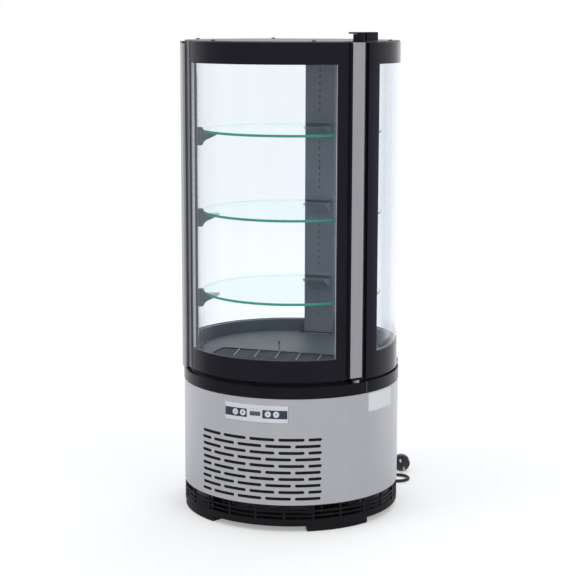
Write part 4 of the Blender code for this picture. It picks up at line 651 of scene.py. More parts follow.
def steady_normals(mesh: bpy.types.Mesh) -> None:
    """Give round upright walls radial normals and level faces upright ones, so that nothing bands."""
    normals = [corner.vector.copy() for corner in mesh.corner_normals]
    for polygon in mesh.polygons:
        normal = polygon.normal
        outwards = Vector((polygon.center.x, polygon.center.y, 0.0)).normalized()
        facing = normal.dot(outwards)
        for index in polygon.loop_indices:
            if abs(normal.z) > 0.985:
                normals[index] = Vector((0.0, 0.0, math.copysign(1.0, normal.z)))
            elif abs(facing) > 0.995:
                point = mesh.vertices[mesh.loops[index].vertex_index].co
                normals[index] = Vector((point.x, point.y, 0.0)).normalized() * math.copysign(1.0, facing)
    mesh.normals_split_custom_set(normals)


@dataclass
class Builder:
    """Makes finished pieces out of meshes, and rides them on the case's bodies."""

    finishes: Finishes
    count: int = 0

    def mesh_object(self, name: str, bm: bmesh.types.BMesh, outwards: bool = True) -> bpy.types.Object:
        """An object of a mesh, linked to the scene."""
        if outwards:
            bmesh.ops.recalc_face_normals(bm, faces=bm.faces)
        mesh = bpy.data.meshes.new(name)
        bm.to_mesh(mesh)
        bm.free()
        obj = bpy.data.objects.new(name, mesh)
        bpy.context.scene.collection.objects.link(obj)
        return obj

    def piece(
        self, name: str, bm: bmesh.types.BMesh, finish: str | Sequence[str], body: str = CASE, *,
        stands_for: Sequence[str] = (), sharp: float = 35.0, steady: bool = False,
        choose: Optional[Chooser] = None,
    ) -> bpy.types.Object:
        """Finish a mesh as a piece of the case.

        Args:
            name: The piece's name.
            bm: Its mesh, which this frees.
            finish: The names of its finishes.
            body: The body it rides on.
            stands_for: The CAD nodes that it replaces.
            sharp: Edges sharper than this many degrees stay sharp.
            steady: True where round walls and level faces get exact normals.
            choose: Picks a finish's number from a face's centre and normal.

        Returns:
            The piece.
        """
        obj = self.mesh_object(name, bm)
        return self.dress(obj, finish, body, stands_for, sharp, steady, choose)

    def dress(
        self, obj: bpy.types.Object, finish: str | Sequence[str], body: str,
        stands_for: Sequence[str] = (), sharp: float = 35.0, steady: bool = False,
        choose: Optional[Chooser] = None,
    ) -> bpy.types.Object:
        """Give an object its finishes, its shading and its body."""
        mesh = obj.data
        names = [finish] if isinstance(finish, str) else list(finish)
        mesh.materials.clear()
        for item in names:
            mesh.materials.append(self.finishes[item])
        for polygon in mesh.polygons:
            polygon.material_index = choose(polygon.center, polygon.normal) if choose else 0
        mesh.shade_smooth()
        mesh.set_sharp_from_angle(angle=math.radians(sharp))
        if steady:
            steady_normals(mesh)
        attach(obj, body)
        if stands_for:
            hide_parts(*stands_for)
        self.count += 1
        LOG.info("%s: %d faces on %s", obj.name, len(mesh.polygons), body)
        return obj

    def cut(
        self, obj: bpy.types.Object, tools: Sequence[bmesh.types.BMesh], operation: str = "DIFFERENCE"
    ) -> None:
        """Cut meshes out of an object, or join them on, for good."""
        helpers = []
        for number, tool in enumerate(tools):
            helper = self.mesh_object(f"{obj.name}_tool_{number}", tool)
            modifier = obj.modifiers.new("cut", "BOOLEAN")
            modifier.operation = operation
            modifier.solver = "EXACT"
            modifier.use_self = operation == "UNION"
            modifier.object = helper
            helpers.append(helper)
        graph = bpy.context.evaluated_depsgraph_get()
        graph.update()
        mesh = bpy.data.meshes.new_from_object(obj.evaluated_get(graph))
        obj.modifiers.clear()
        old = obj.data
        obj.data = mesh
        bpy.data.meshes.remove(old)
        for helper in helpers:
            spent = helper.data
            bpy.data.objects.remove(helper, do_unlink=True)
            bpy.data.meshes.remove(spent)

    def keep(self, node: bpy.types.Object, finish: str) -> None:
        """Give a CAD node that stays its finish."""
        node.data.materials.clear()
        node.data.materials.append(self.finishes[finish])


@dataclass
class Studio:
    """The camera, the lamps, the white surroundings and the floor."""

    camera_place: Point = (1.0439, -3.1200, 1.0139)
    camera_turn: float = 18.5
    pitch: float = 0.1679485
    yaw: float = 0.0022127
    roll: float = 0.0026881
    focal_px: float = 1600.386
    image_px: float = 576.0
    sensor: float = 36.0
    white_side: Point = (-0.259, 0.966, 0.0)
    room_stops: tuple = (
        (0.36, (0.16, 0.16, 0.18)),
        (0.53, (0.21, 0.21, 0.23)),
        (0.64, (0.36, 0.36, 0.39)),
        (0.76, (0.48, 0.49, 0.51)),
        (0.82, (0.54, 0.55, 0.57)),
        (0.885, (0.68, 0.69, 0.71)),
        (0.945, (0.92, 0.92, 0.94)),
        (1.0, (1.0, 1.0, 1.0)),
    )
    room_level: float = 1.18
    far: float = 4.0
    lamps: tuple = (
        ("key", (-2.2, -2.6, 2.6), 2.2, 22.5),
        ("fill", (2.6, -1.6, 1.9), 2.4, 14.5),
        ("rear", (0.4, 2.8, 2.6), 2.6, 19.0),
        ("over", (0.0, -0.2, 3.4), 2.4, 15.5),
    )

    def build(self) -> None:
        """Set up everything that is not the case."""
        self.camera()
        self.world()
        self.lights()
        self.floor()
        scene = bpy.context.scene
        scene.view_settings.view_transform = "Standard"
        scene.cycles.transparent_max_bounces = 48

    def camera(self) -> None:
        """Place the camera where the photograph was taken from."""
        ahead = Vector((
            -math.sin(self.yaw) * math.cos(self.pitch), math.cos(self.yaw) * math.cos(self.pitch),
            -math.sin(self.pitch)
        ))
        level = ahead.cross(Vector((0, 0, 1))).normalized()
        upright = level.cross(ahead).normalized()
        right = level * math.cos(self.roll) + upright * math.sin(self.roll)
        up = upright * math.cos(self.roll) - level * math.sin(self.roll)
        turn = Matrix.Rotation(math.radians(self.camera_turn), 3, "Z")
        columns = [turn @ right, turn @ up, turn @ -ahead]
        data = bpy.data.cameras.new("camera")
        data.sensor_width = self.sensor
        data.lens = self.focal_px / self.image_px * self.sensor
        camera = bpy.data.objects.new("camera", data)
        basis = Matrix(columns).transposed().to_4x4()
        camera.matrix_world = Matrix.Translation(self.camera_place) @ basis
        bpy.context.scene.collection.objects.link(camera)
        bpy.context.scene.camera = camera

    def world(self) -> None:
        """White behind the case, a pale room in its reflections, and soft light all round."""
        world = bpy.data.worlds.new("studio")
        bpy.context.scene.world = world
        graph = Graph(world, "ShaderNodeOutputWorld")
        path = graph.node("ShaderNodeLightPath")
        room = self.room(graph, graph.node("ShaderNodeTexCoord").outputs["Generated"])
        white = graph.node("ShaderNodeBackground", None, {"Color": (1.0, 1.0, 1.0), "Strength": 1.0})
        glossy = graph.node("ShaderNodeBackground", None, {"Color": room, "Strength": self.room_level})
        light = graph.node("ShaderNodeBackground", None, {"Color": (0.93, 0.96, 1.0), "Strength": 0.66})
        seen = graph.value(path, "Is Camera Ray") + graph.value(path, "Is Transmission Ray")
        shown = graph.blend(graph.value(path, "Is Glossy Ray"), light, glossy)
        graph.finish(graph.blend(seen, shown, white))

    def room(self, graph: Graph, direction: Any) -> bpy.types.Node:
        """What polished surfaces mirror: a room that is dark round the camera and white on the far side.

        Args:
            graph: The tree that gets the nodes.
            direction: The direction from the case, as a vector socket.

        Returns:
            The colour ramp.
        """
        aligned = graph.node(
            "ShaderNodeVectorMath", {"operation": "DOT_PRODUCT"}, {0: direction, 1: self.white_side}
        )
        return graph.node(
            "ShaderNodeValToRGB", {"stops": self.room_stops}, {0: graph.value(aligned, 1) * 0.5 + 0.5}
        )

    def lights(self) -> None:
        """Large soft lamps round the case."""
        for name, place, size, power in self.lamps:
            data = bpy.data.lights.new(name, "AREA")
            data.shape = "DISK"
            data.size = size
            data.energy = power
            lamp = bpy.data.objects.new(name, data)
            aim = Vector((0, 0, 0.45)) - Vector(place)
            lamp.matrix_world = Matrix.Translation(place) @ aim.to_track_quat("-Z", "Y").to_matrix().to_4x4()
            lamp.visible_glossy = False
            bpy.context.scene.collection.objects.link(lamp)

    def floor(self) -> None:
        """A plain white floor that keeps the case's shadow."""
        bm = bmesh.new()
        bmesh.ops.create_grid(
            bm, x_segments=1, y_segments=1, size=40.0, matrix=Matrix.Translation((0, 0, -0.0004))
        )
        mesh = bpy.data.meshes.new("floor")
        bm.to_mesh(mesh)
        bm.free()
        graph = new_graph("studio floor")
        path = graph.node("ShaderNodeLightPath")
        away = graph.node("ShaderNodeVectorMath", {"operation": "LENGTH"}, {0: graph.place()})
        levels = ((0.0, 0.31), (0.25, 0.31), (0.55, 0.41), (1.0, 0.52))
        stops = [(place, (level, level, level)) for place, level in levels]
        white = graph.node("ShaderNodeValToRGB", {"stops": stops}, {0: graph.value(away, "Value") / self.far})
        matte = graph.node("ShaderNodeBsdfDiffuse", None, {"Color": (0.80, 0.80, 0.79)})
        glow = graph.node("ShaderNodeEmission", None, {"Color": white, "Strength": 1.0})
        both = graph.node("ShaderNodeAddShader", None, {0: matte, 1: glow})
        plain = graph.node("ShaderNodeBsdfDiffuse", None, {"Color": (0.60, 0.60, 0.61)})
        outwards = graph.node("ShaderNodeVectorMath", {"operation": "NORMALIZE"}, {0: graph.place()})
        dim = graph.node(
            "ShaderNodeEmission", None, {"Color": self.room(graph, outwards), "Strength": self.room_level}
        )
        mirrored = graph.blend(graph.value(path, "Is Glossy Ray"), plain, dim)
        seen = graph.value(path, "Is Camera Ray")
        mesh.materials.append(graph.finish(graph.blend(seen, mirrored, both)))
        floor = bpy.data.objects.new("floor", mesh)
        bpy.context.scene.collection.objects.link(floor)
        floor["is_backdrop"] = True


@dataclass
class MainsLead:
    """The mains lead with its gland, coil, tie and plug."""

    cord_r: float = 0.0035
    gland_phi: float = GLAND_PHI
    gland_z: float = GLAND_Z
    gland_l: float = 0.0280
    coil_centre: Point = (-0.0750, 0.2800)
    coil_outer_r: float = 0.0445
    turn_pitch: float = 0.0075
    layer_pitch: float = 0.0075
    coil_turns: int = 2
    coil_points: int = 24
    coil_lead: float = 0.0072
    plug_face: Point = (0.1700, 0.2810)
    plug_r: float = 0.0185
    plug_phi: float = 18.5
    plug_roll: float = -24.0
    plug_depth: float = 0.0190
    plug_tail: float = 0.0240
    route_down: tuple = (
        (0.0650, 0.2640, 0.0760),
        (0.0685, 0.2800, 0.0560),
        (0.0680, 0.2930, 0.0300),
        (0.0580, 0.3070, 0.0100),
        (0.0380, 0.3190, 0.0040),
        (0.0100, 0.3240, 0.0035),
        (-0.0250, 0.3245, 0.0035),
    )
    route_back: tuple = (
        (-0.0390, 0.2427, 0.0080),
        (0.0020, 0.2455, 0.0040),
        (0.0465, 0.2390, 0.0035),
        (0.0850, 0.2245, 0.0035),
        (0.1195, 0.2045, 0.0035),
        (0.1515, 0.1910, 0.0035),
        (0.1845, 0.1935, 0.0035),
        (0.1990, 0.2060, 0.0035),
        (0.2000, 0.2245, 0.0035),
        (0.1880, 0.2385, 0.0035),
        (0.1690, 0.2400, 0.0035),
        (0.1465, 0.2340, 0.0035),
        (0.1285, 0.2415, 0.0035),
        (0.1190, 0.2600, 0.0035),
        (0.1105, 0.2860, 0.0035),
        (0.1020, 0.3105, 0.0035),
        (0.1030, 0.3335, 0.0050),
        (0.1190, 0.3470, 0.0095),
        (0.1400, 0.3455, 0.0155),
    )

    def build(self, make: Builder) -> None:
        """Make the lead and all that is on it."""
        gland = self.gland(make)
        plug = self.plug(make)
        self.tie(make)
        path = self.path()
        length = sum((b - a).length for a, b in zip(path, path[1:]))
        curve = bpy.data.curves.new("lead", "CURVE")
        curve.dimensions = "3D"
        curve.bevel_depth = self.cord_r
        curve.bevel_resolution = 4
        curve.use_fill_caps = True
        curve.twist_mode = "MINIMUM"
        spline = curve.splines.new("POLY")
        spline.points.add(len(path) - 1)
        for target, point in zip(spline.points, path):
            target.co = (*point, 1.0)
        spline.use_smooth = True
        curve.materials.append(make.finishes["cord sheath"])
        cord = bpy.data.objects.new("lead", curve)
        bpy.context.scene.collection.objects.link(cord)
        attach(cord, CASE)
        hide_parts("mains_cord", "cord_coil", "cord_tail")
        tuple(path[0])
        LOG.info("lead: %.3f m", length)

    def smooth(self, route: Sequence[Vector], spacing: float) -> list[Vector]:
        """Points about this far apart on a smooth curve through the points of a route."""
        stops = [2 * route[0] - route[1], *route, 2 * route[-1] - route[-2]]
        fine = []
        for a, b, c, d in zip(stops, stops[1:], stops[2:], stops[3:]):
            for index in range(16):
                t = index / 16
                cubic = (2 * a - 5 * b + 4 * c - d) * t**2 + (3 * b - a - 3 * c + d) * t**3
                fine.append(0.5 * (2 * b + (c - a) * t + cubic))
        fine.append(stops[-2])
        lengths = [0.0]
        for start, end in zip(fine, fine[1:]):
            lengths.append(lengths[-1] + (end - start).length)
        count = max(2, round(lengths[-1] / spacing))
        points = []
        index = 0
        for step in range(count + 1):
            goal = lengths[-1] * step / count
            while index < len(lengths) - 2 and lengths[index + 1] < goal:
                index += 1
            share = (goal - lengths[index]) / (lengths[index + 1] - lengths[index])
            points.append(fine[index].lerp(fine[index + 1], min(1.0, share)))
        return points

    def coil(self) -> list[Vector]:
        """The centre line of the coil: in along the floor, up a layer, and out on top."""
        centre = Vector((*self.coil_centre, 0))
        inner_r = self.coil_outer_r - self.coil_turns * self.turn_pitch
        lower = self.coil_turns * self.coil_points
        climb = self.coil_points // 2
        points = []
        for half in range(2 * (lower + climb + lower) + 1):
            index = half / 2
            angle = math.radians(90 + 360 * index / self.coil_points)
            if index <= lower:
                radius = self.coil_outer_r - self.turn_pitch * index / self.coil_points
                rise = 0.0
            elif index <= lower + climb:
                share = (index - lower) / climb
                radius = inner_r - self.turn_pitch / 2 * min(share, 1 - share)
                rise = 0.5 - 0.5 * math.cos(math.pi * share)
            else:
                radius = inner_r + self.turn_pitch * (index - lower - climb) / self.coil_points
                rise = 1.0
            height = self.cord_r + rise * self.layer_pitch
            points.append(centre + Vector((radius * math.cos(angle), radius * math.sin(angle), height)))
        return points

    def plug_frame(self) -> Matrix:
        """The matrix that carries the plug, made with its face at the origin towards -Y, to its place."""
        x, y = self.plug_face
        place = Matrix.Translation((x, y, self.plug_r + GAP)) @ about_z(self.plug_phi)
        return place @ Matrix.Rotation(math.radians(self.plug_roll), 4, "Y")

    def path(self) -> list[Vector]:
        """The whole centre line, from the gland to the back of the plug."""
        out = polar(1.0, self.gland_phi)
        start = polar(STEEL_R, self.gland_phi, self.gland_z) + out * (self.gland_l + GAP)
        straight = 2 * self.cord_r
        coil = self.coil()
        entry = coil[0] + Vector((self.coil_lead + GAP, 0, 0))
        away = coil[-1] + Vector((self.coil_lead + GAP, 0, 0))
        frame = self.plug_frame()
        axis = (frame.to_3x3() @ Vector((0, 1, 0))).normalized()
        tail = frame @ Vector((0, self.plug_depth + self.plug_tail, 0)) + axis * GAP
        down = [start + out * straight, *map(Vector, self.route_down), entry + Vector((straight, 0, 0))]
        back = [away + Vector((straight, 0, 0)), *map(Vector, self.route_back), tail + axis * straight]
        points = [start, *self.smooth(down, 0.005), entry, *coil, away, *self.smooth(back, 0.005), tail]
        for point in points:
            point.z = max(point.z, self.cord_r)
        return points

    def gland(self, make: Builder) -> bpy.types.Object:
        """The tapered strain relief with its flange and rings."""
        profile = [(0.0040, -0.0045), (0.0070, -0.0045), (0.0070, GAP), (0.0098, GAP), (0.0100, GAP + 0.0004),
                   (0.0100, 0.0026), (0.0096, 0.0030), (0.0072, 0.0034)]
        rings = 6
        for index in range(rings):
            low = 0.0050 + index * 0.0037
            radius = 0.0069 - 0.0004 * index
            profile += [
                (radius, low), (radius, low + 0.0020), (radius - 0.0011, low + 0.0023),
                (radius - 0.0011, low + 0.0034)
            ]
        profile += [(0.0046, self.gland_l - 0.0004), (0.0043, self.gland_l), (0.0037, self.gland_l)]
        bm = bmesh.new()
        place = standing_out(self.gland_phi, STEEL_R, self.gland_z)
        lathe(bm, profile, 40, True, place)
        return make.piece("gland", bm, "seal rubber", stands_for=["cord_gland"])

    def plug(self, make: Builder) -> bpy.types.Object:
        """The round moulded plug with grooved sides, earth clips and two pins."""
        frame = self.plug_frame()
        stand = frame @ Matrix.Rotation(-math.pi / 2, 4, "X")
        r = self.plug_r
        depth = self.plug_depth
        profile = [(0.0, 0.0), (r - 0.0016, 0.0), (r - 0.0004, 0.0005), (r, 0.0016), (r, depth - 0.0040),
                   (r * 0.95, depth - 0.0016), (r * 0.82, depth), (r * 0.62, depth + 0.0024),
                   (r * 0.48, depth + 0.0066),
                   (0.0058, depth + 0.0120)]
        for index in range(3):
            low = depth + 0.0130 + index * 0.0036
            profile += [(0.0058 - index * 0.0003, low), (0.0058 - index * 0.0003, low + 0.0018),
                        (0.0046, low + 0.0021), (0.0046, low + 0.0032)]
        profile += [(0.0049, depth + self.plug_tail), (0.0, depth + self.plug_tail)]
        bm = bmesh.new()
        lathe(bm, profile, 64, False, stand)
        plug = make.mesh_object("plug", bm)
        grooves = bmesh.new()
        for side in (-1, 1):
            near, far = sorted((side * (r - 0.0020), side * 0.03))
            box(grooves, (near, -0.005, -0.0035), (far, depth - 0.004, 0.0035), frame)
            for rib in range(4):
                y = 0.0045 + rib * 0.0030
                box(
                    grooves, (-0.0150, y, side * (r + 0.0060) - 0.0066),
                    (0.0150, y + 0.0012, side * (r + 0.0060) + 0.0066), frame
                )
        make.cut(plug, [grooves])
        make.dress(plug, "plug moulding", CASE, ["mains_plug"], 40.0)

        metal = bmesh.new()
        sleeve = bmesh.new()
        for side in (-1, 1):
            seat = frame @ Matrix.Translation((0, 0, side * 0.0095)) @ Matrix.Rotation(math.pi / 2, 4, "X")
            lathe(metal, [(0.0, 0.0), (0.0024, 0.0), (0.0024, 0.0172), (0.0019, 0.0186), (0.0010, 0.0190),
                          (0.0, 0.0190)],
                  24, False, seat)
            lathe(
                sleeve, [(0.0024, 0.0001), (0.0034, 0.0001), (0.0034, 0.0012), (0.0024, 0.0012)], 24, True,
                seat
            )
            near, far = sorted((side * (r - 0.0020), side * (r - 0.0012)))
            box(metal, (near, 0.0006, -0.0026), (far, depth - 0.0046, 0.0026), frame, 0.0003)
        pins = make.piece("plug_pins", metal, "nickel plate")
        collars = make.piece("plug_collars", sleeve, "plug moulding")
        for item in (pins, collars):
            item.parent = plug
            item.matrix_parent_inverse = plug.matrix_world.inverted()
        return plug

    def tie(self, make: Builder) -> None:
        """The wire tie round the coil."""
        inner = self.coil_outer_r - self.coil_turns * self.turn_pitch - self.cord_r - 0.0008
        outer = self.coil_outer_r + self.cord_r + 0.0006
        top = 2 * self.cord_r + self.layer_pitch + 0.0006
        bm = bmesh.new()
        loop = []
        corner = 0.0036
        for cx, cz, start in ((outer - corner, top - corner, 0), (inner + corner, top - corner, 90),
                              (inner + corner, corner, 180), (outer - corner, corner, 270)):
            for step in range(5):
                angle = math.radians(start + 22.5 * step)
                loop.append((cx + corner * math.cos(angle), cz + corner * math.sin(angle)))
        verts = [bm.verts.new((x, -0.0022, z)) for x, z in loop]
        edges = [bm.edges.new(pair) for pair in zip(verts, verts[1:] + verts[:1])]
        grown = bmesh.ops.extrude_edge_only(bm, edges=edges)
        moved = [item for item in grown["geom"] if isinstance(item, bmesh.types.BMVert)]
        bmesh.ops.translate(bm, verts=moved, vec=(0, 0.0044, 0))
        bmesh.ops.solidify(bm, geom=bm.faces[:], thickness=0.0007)
        box(bm, (outer - 0.0010, -0.0030, 0.0050), (outer + 0.0026, 0.0030, 0.0095), None, 0.0006)
        place = Matrix.Translation((*self.coil_centre, 0)) @ about_z(255)
        bmesh.ops.transform(bm, matrix=place, verts=bm.verts)
        make.piece("coil_tie", bm, "black ring plastic")


@dataclass
class BaseTray:
    """The moulded base with its louvred skirt and feet."""

    radius: float = 0.2237
    wall: float = 0.0040
    foot_h: float = 0.0110
    plate: float = 0.0040
    height: float = 0.0546
    collar_r: float = 0.2225
    collar_h: float = 0.0080
    louvres: tuple = ((0.0254, 0.0313), (0.0343, 0.0400), (0.0442, 0.0536))
    pitch: float = 15.0
    rib: float = 1.4
    foot_from: float = 27.0
    foot_to: float = 62.5
    foot_depth: float = 0.0230
    mount_r: float = 0.0090
    mount_h: float = 0.0120

    def build(self, make: Builder) -> None:
        """Make the tray with its louvres, its feet and its mounts."""
        floor = self.foot_h + self.plate
        inner = self.radius - self.wall
        collar = self.height + self.collar_h
        lip = 0.0008
        profile = [
            (0, floor), (inner, floor), (inner, collar), (self.collar_r, collar),
            (self.collar_r, self.height),
            (self.radius - lip, self.height), (self.radius, self.height - lip),
            (self.radius, self.foot_h + 0.0016),
            (self.radius - 0.0005, self.foot_h + 0.0005), (self.radius - 0.0016, self.foot_h),
            (0, self.foot_h),
        ]
        bm = bmesh.new()
        lathe(bm, profile)
        tray = make.mesh_object("base", bm)
        windows = bmesh.new()
        for low, high in self.louvres:
            for index in range(round(360 / self.pitch)):
                start = index * self.pitch + self.rib / 2
                sweep(
                    windows, band(inner - 0.004, self.radius + 0.004, low, high),
                    (start, start + self.pitch - self.rib), 1.875
                )
        make.cut(tray, [windows])
        feet = bmesh.new()
        outer = self.radius - 0.0006
        section = (
            (outer - self.foot_depth, 0.0), (outer - 0.0020, 0.0), (outer - 0.0006, 0.0006), (outer, 0.0020),
            (outer, self.foot_h + 0.002), (outer - self.foot_depth, self.foot_h + 0.002),
        )
        for start in (self.foot_from, 180 - self.foot_to, 180 + self.foot_from, 360 - self.foot_to):
            sweep(feet, section, (start, start + self.foot_to - self.foot_from), 1.875)
        for x in (-0.0820, 0.0420):
            for y in (0.0050, 0.1050):
                lathe(feet, [(0, -0.002), (self.mount_r, -0.002), (self.mount_r, self.mount_h - 0.001),
                             (self.mount_r - 0.001, self.mount_h), (0, self.mount_h)], 24, False,
                      Matrix.Translation((x, y, floor)))
        make.cut(tray, [feet], "UNION")
        make.dress(tray, "black base plastic", CASE, ["base_tray"], 35.0, True)


@dataclass
class SteelWrap:
    """The round sheet of brushed steel with its slotted grilles and the rivets of its seam."""

    wall: float = 0.0010
    bottom: float = 0.0549
    top: float = 0.2713
    slot_h: float = 0.0062
    row_z: float = 0.0682
    row_pitch: float = 0.0134
    slot_long: float = 13.3
    slot_gap: float = 2.0
    front: tuple = (10, 34.4, 0, 0.0)
    rear: tuple = (3, 22.0, 1, 180.0)
    panel_half: float = 17.0
    panel_z: tuple = (0.2233, 0.2580)
    seam_phi: float = 150.0

    def row(self, half: float, flipped: bool) -> list[tuple[float, float]]:
        """The start and end angle of each slot of a grille row, cut off at the grille's edge."""
        start = -half - self.slot_long / 2 + 0.4
        slots = []
        while start < half:
            low, high = max(start, -half), min(start + self.slot_long, half)
            if high - low > 3.0:
                slots.append((-high, -low) if flipped else (low, high))
            start += self.slot_long + self.slot_gap
        return slots

    def slot_tool(self, bm: bmesh.types.BMesh, phi: float, z: float, length: float) -> None:
        """Add the tool of one round-ended slot."""
        half = length / 2 - self.slot_h / 2
        outline = []
        for side in (1, -1):
            for step in range(9):
                angle = math.radians(-90 + 22.5 * step)
                outline.append(
                    (side * (half + self.slot_h / 2 * math.cos(angle)),
                     side * self.slot_h / 2 * math.sin(angle))
                )
        stand = standing_out(phi, STEEL_R - 0.012, z)
        prism(bm, outline, Vector((0, 0, 0.018)), stand)

    def build(self, make: Builder) -> None:
        """Make the sheet with its openings, the near-black mat behind its grille as painted shade, and the
        rivets of its seam.
        """
        inner = STEEL_R - self.wall
        edge = 0.0002
        profile = [
            (STEEL_R, self.bottom + edge), (STEEL_R, self.top - edge), (STEEL_R - edge, self.top),
            (inner, self.top),
            (inner, self.bottom), (STEEL_R - edge, self.bottom),
        ]
        bm = bmesh.new()
        lathe(bm, profile, FULL_STEPS, True)
        sheet = make.mesh_object("wrap", bm)
        tools = bmesh.new()
        for rows, half, first, centre in (self.front, self.rear):
            for row in range(rows):
                z = self.row_z + (first + row) * self.row_pitch
                for low, high in self.row(half, row % 2 == 1):
                    self.slot_tool(tools, centre + (low + high) / 2, z, math.radians(high - low) * STEEL_R)
        window = bmesh.new()
        sweep(window, band(inner - 0.003, STEEL_R + 0.003, self.panel_z[0] - GAP, self.panel_z[1] + GAP),
              (-self.panel_half - 0.1, self.panel_half + 0.1), 2.0)
        hole = bmesh.new()
        rod(hole, 0.0073, -0.02, 0.02, 32, standing_out(GLAND_PHI, STEEL_R, GLAND_Z))
        make.cut(sheet, [tools, window, hole])
        make.dress(sheet, "brushed steel", CASE, ["steel_wrap"], 35.0, True)

        # Painted shade: a near-black mat right behind the front grille stands in for the shade of the space
        # behind it, so the slots read dark.
        mat = bmesh.new()
        sweep(mat, band(inner - 0.0045, inner - 0.0008, self.bottom + 0.0105, 0.2000), (-36.5, 36.5), 2.0)
        make.piece("grille_shade_mat", mat, "grille shade mat")
        rivets = bmesh.new()
        for z in (0.0720, 0.1180, 0.1640, 0.2100, 0.2560):
            for phi in (self.seam_phi - 1.6, self.seam_phi + 1.6):
                stand = standing_out(phi, STEEL_R, z)
                lathe(rivets, [(0, 0.0), (0.0024, 0.0), (0.0024, 0.0003), (0.0018, 0.0009),
                               (0.0008, 0.0012), (0, 0.0013)],
                      20, False, stand)
        make.piece("wrap_rivets", rivets, "nickel plate")


@dataclass
class NeckRing:
    """The black ring between the steel and the glass."""

    radius: float = 0.2248
    skirt_z: float = 0.2716
    wall: float = 0.0030
    flange: float = 0.0040
    bore_r: float = 0.1880
    seat_r: float = 0.2140
    collar_r: float = COLLAR_R
    collar_t: float = 0.0035
    collar_h: float = 0.0290
    seam_phi: float = 60.8
    pin_r: float = 0.00755

    def build(self, make: Builder) -> None:
        """Make the ring with its notches for the posts, the bore for the door's pin and its seams."""
        soft = 0.0010
        top_soft = 0.0016
        seat = SEAT_Z
        profile = [
            (self.collar_r, seat + self.collar_h - soft), (self.collar_r, seat), (self.seat_r - soft, seat),
            (self.seat_r, seat - soft), (self.seat_r, RING_TOP), (self.radius - top_soft, RING_TOP),
            (self.radius - 0.0005, RING_TOP - 0.0005), (self.radius, RING_TOP - top_soft),
            (self.radius, self.skirt_z + soft), (self.radius - 0.0003, self.skirt_z + 0.0003),
            (self.radius - soft, self.skirt_z),
            (self.radius - self.wall, self.skirt_z), (self.radius - self.wall, RING_TOP - self.flange),
            (self.bore_r, RING_TOP - self.flange), (self.bore_r, seat),
            (self.collar_r - self.collar_t, seat), (self.collar_r - self.collar_t, seat + 0.0010),
            (self.collar_r - self.collar_t, seat + self.collar_h - soft),
            (self.collar_r - self.collar_t + soft, seat + self.collar_h),
            (self.collar_r - soft, seat + self.collar_h),
        ]
        bm = bmesh.new()
        lathe(bm, profile, FULL_STEPS, True)
        ring = make.mesh_object("ring", bm)
        notches = bmesh.new()
        section = band(self.bore_r, self.seat_r, seat, seat + self.collar_h + 0.01)
        sweep(notches, section, (50.1, 66.5), 2.0)
        sweep(notches, section, (-66.5, -56.1), 2.0)
        pin = bmesh.new()
        rod(pin, self.pin_r, -0.0015, 0.0140, 40, Matrix.Translation(polar(HINGE_R, HINGE_PHI, RING_TOP)))
        seams = bmesh.new()
        for phi in (self.seam_phi, -self.seam_phi - 58.4, 180.0):
            sweep(seams, band(self.radius - 0.0004, self.radius + 0.002, self.skirt_z - 0.001,
                              RING_TOP + 0.001),
                  (phi - 0.10, phi + 0.10), 2.0)
        make.cut(ring, [notches, pin, seams])

        def choose(centre: Vector, normal: Vector) -> int:
            """The grey collar inside the glass, and the black ring elsewhere."""
            return 1 if centre.xy.length < self.collar_r + GAP and centre.z > RING_TOP else 0

        finish = ("black ring plastic", "print back")
        make.dress(ring, finish, CASE, ["neck_ring"], 35.0, True, choose)
        self.painted_joint_highlight(make)

    def painted_joint_highlight(self, make: Builder) -> None:
        """A painted highlight: a thin grey strip along the ring's joint beside the hinge, for the light its
        edge catches.
        """
        bm = bmesh.new()
        sweep(bm, band(self.radius - 0.0003, self.radius + 0.00005, self.skirt_z + 0.0008, RING_TOP - 0.0008),
              (self.seam_phi - 0.16, self.seam_phi + 0.10), 1.0)
        make.piece("ring_joint_highlight", bm, "mark grey", sharp=30.0)


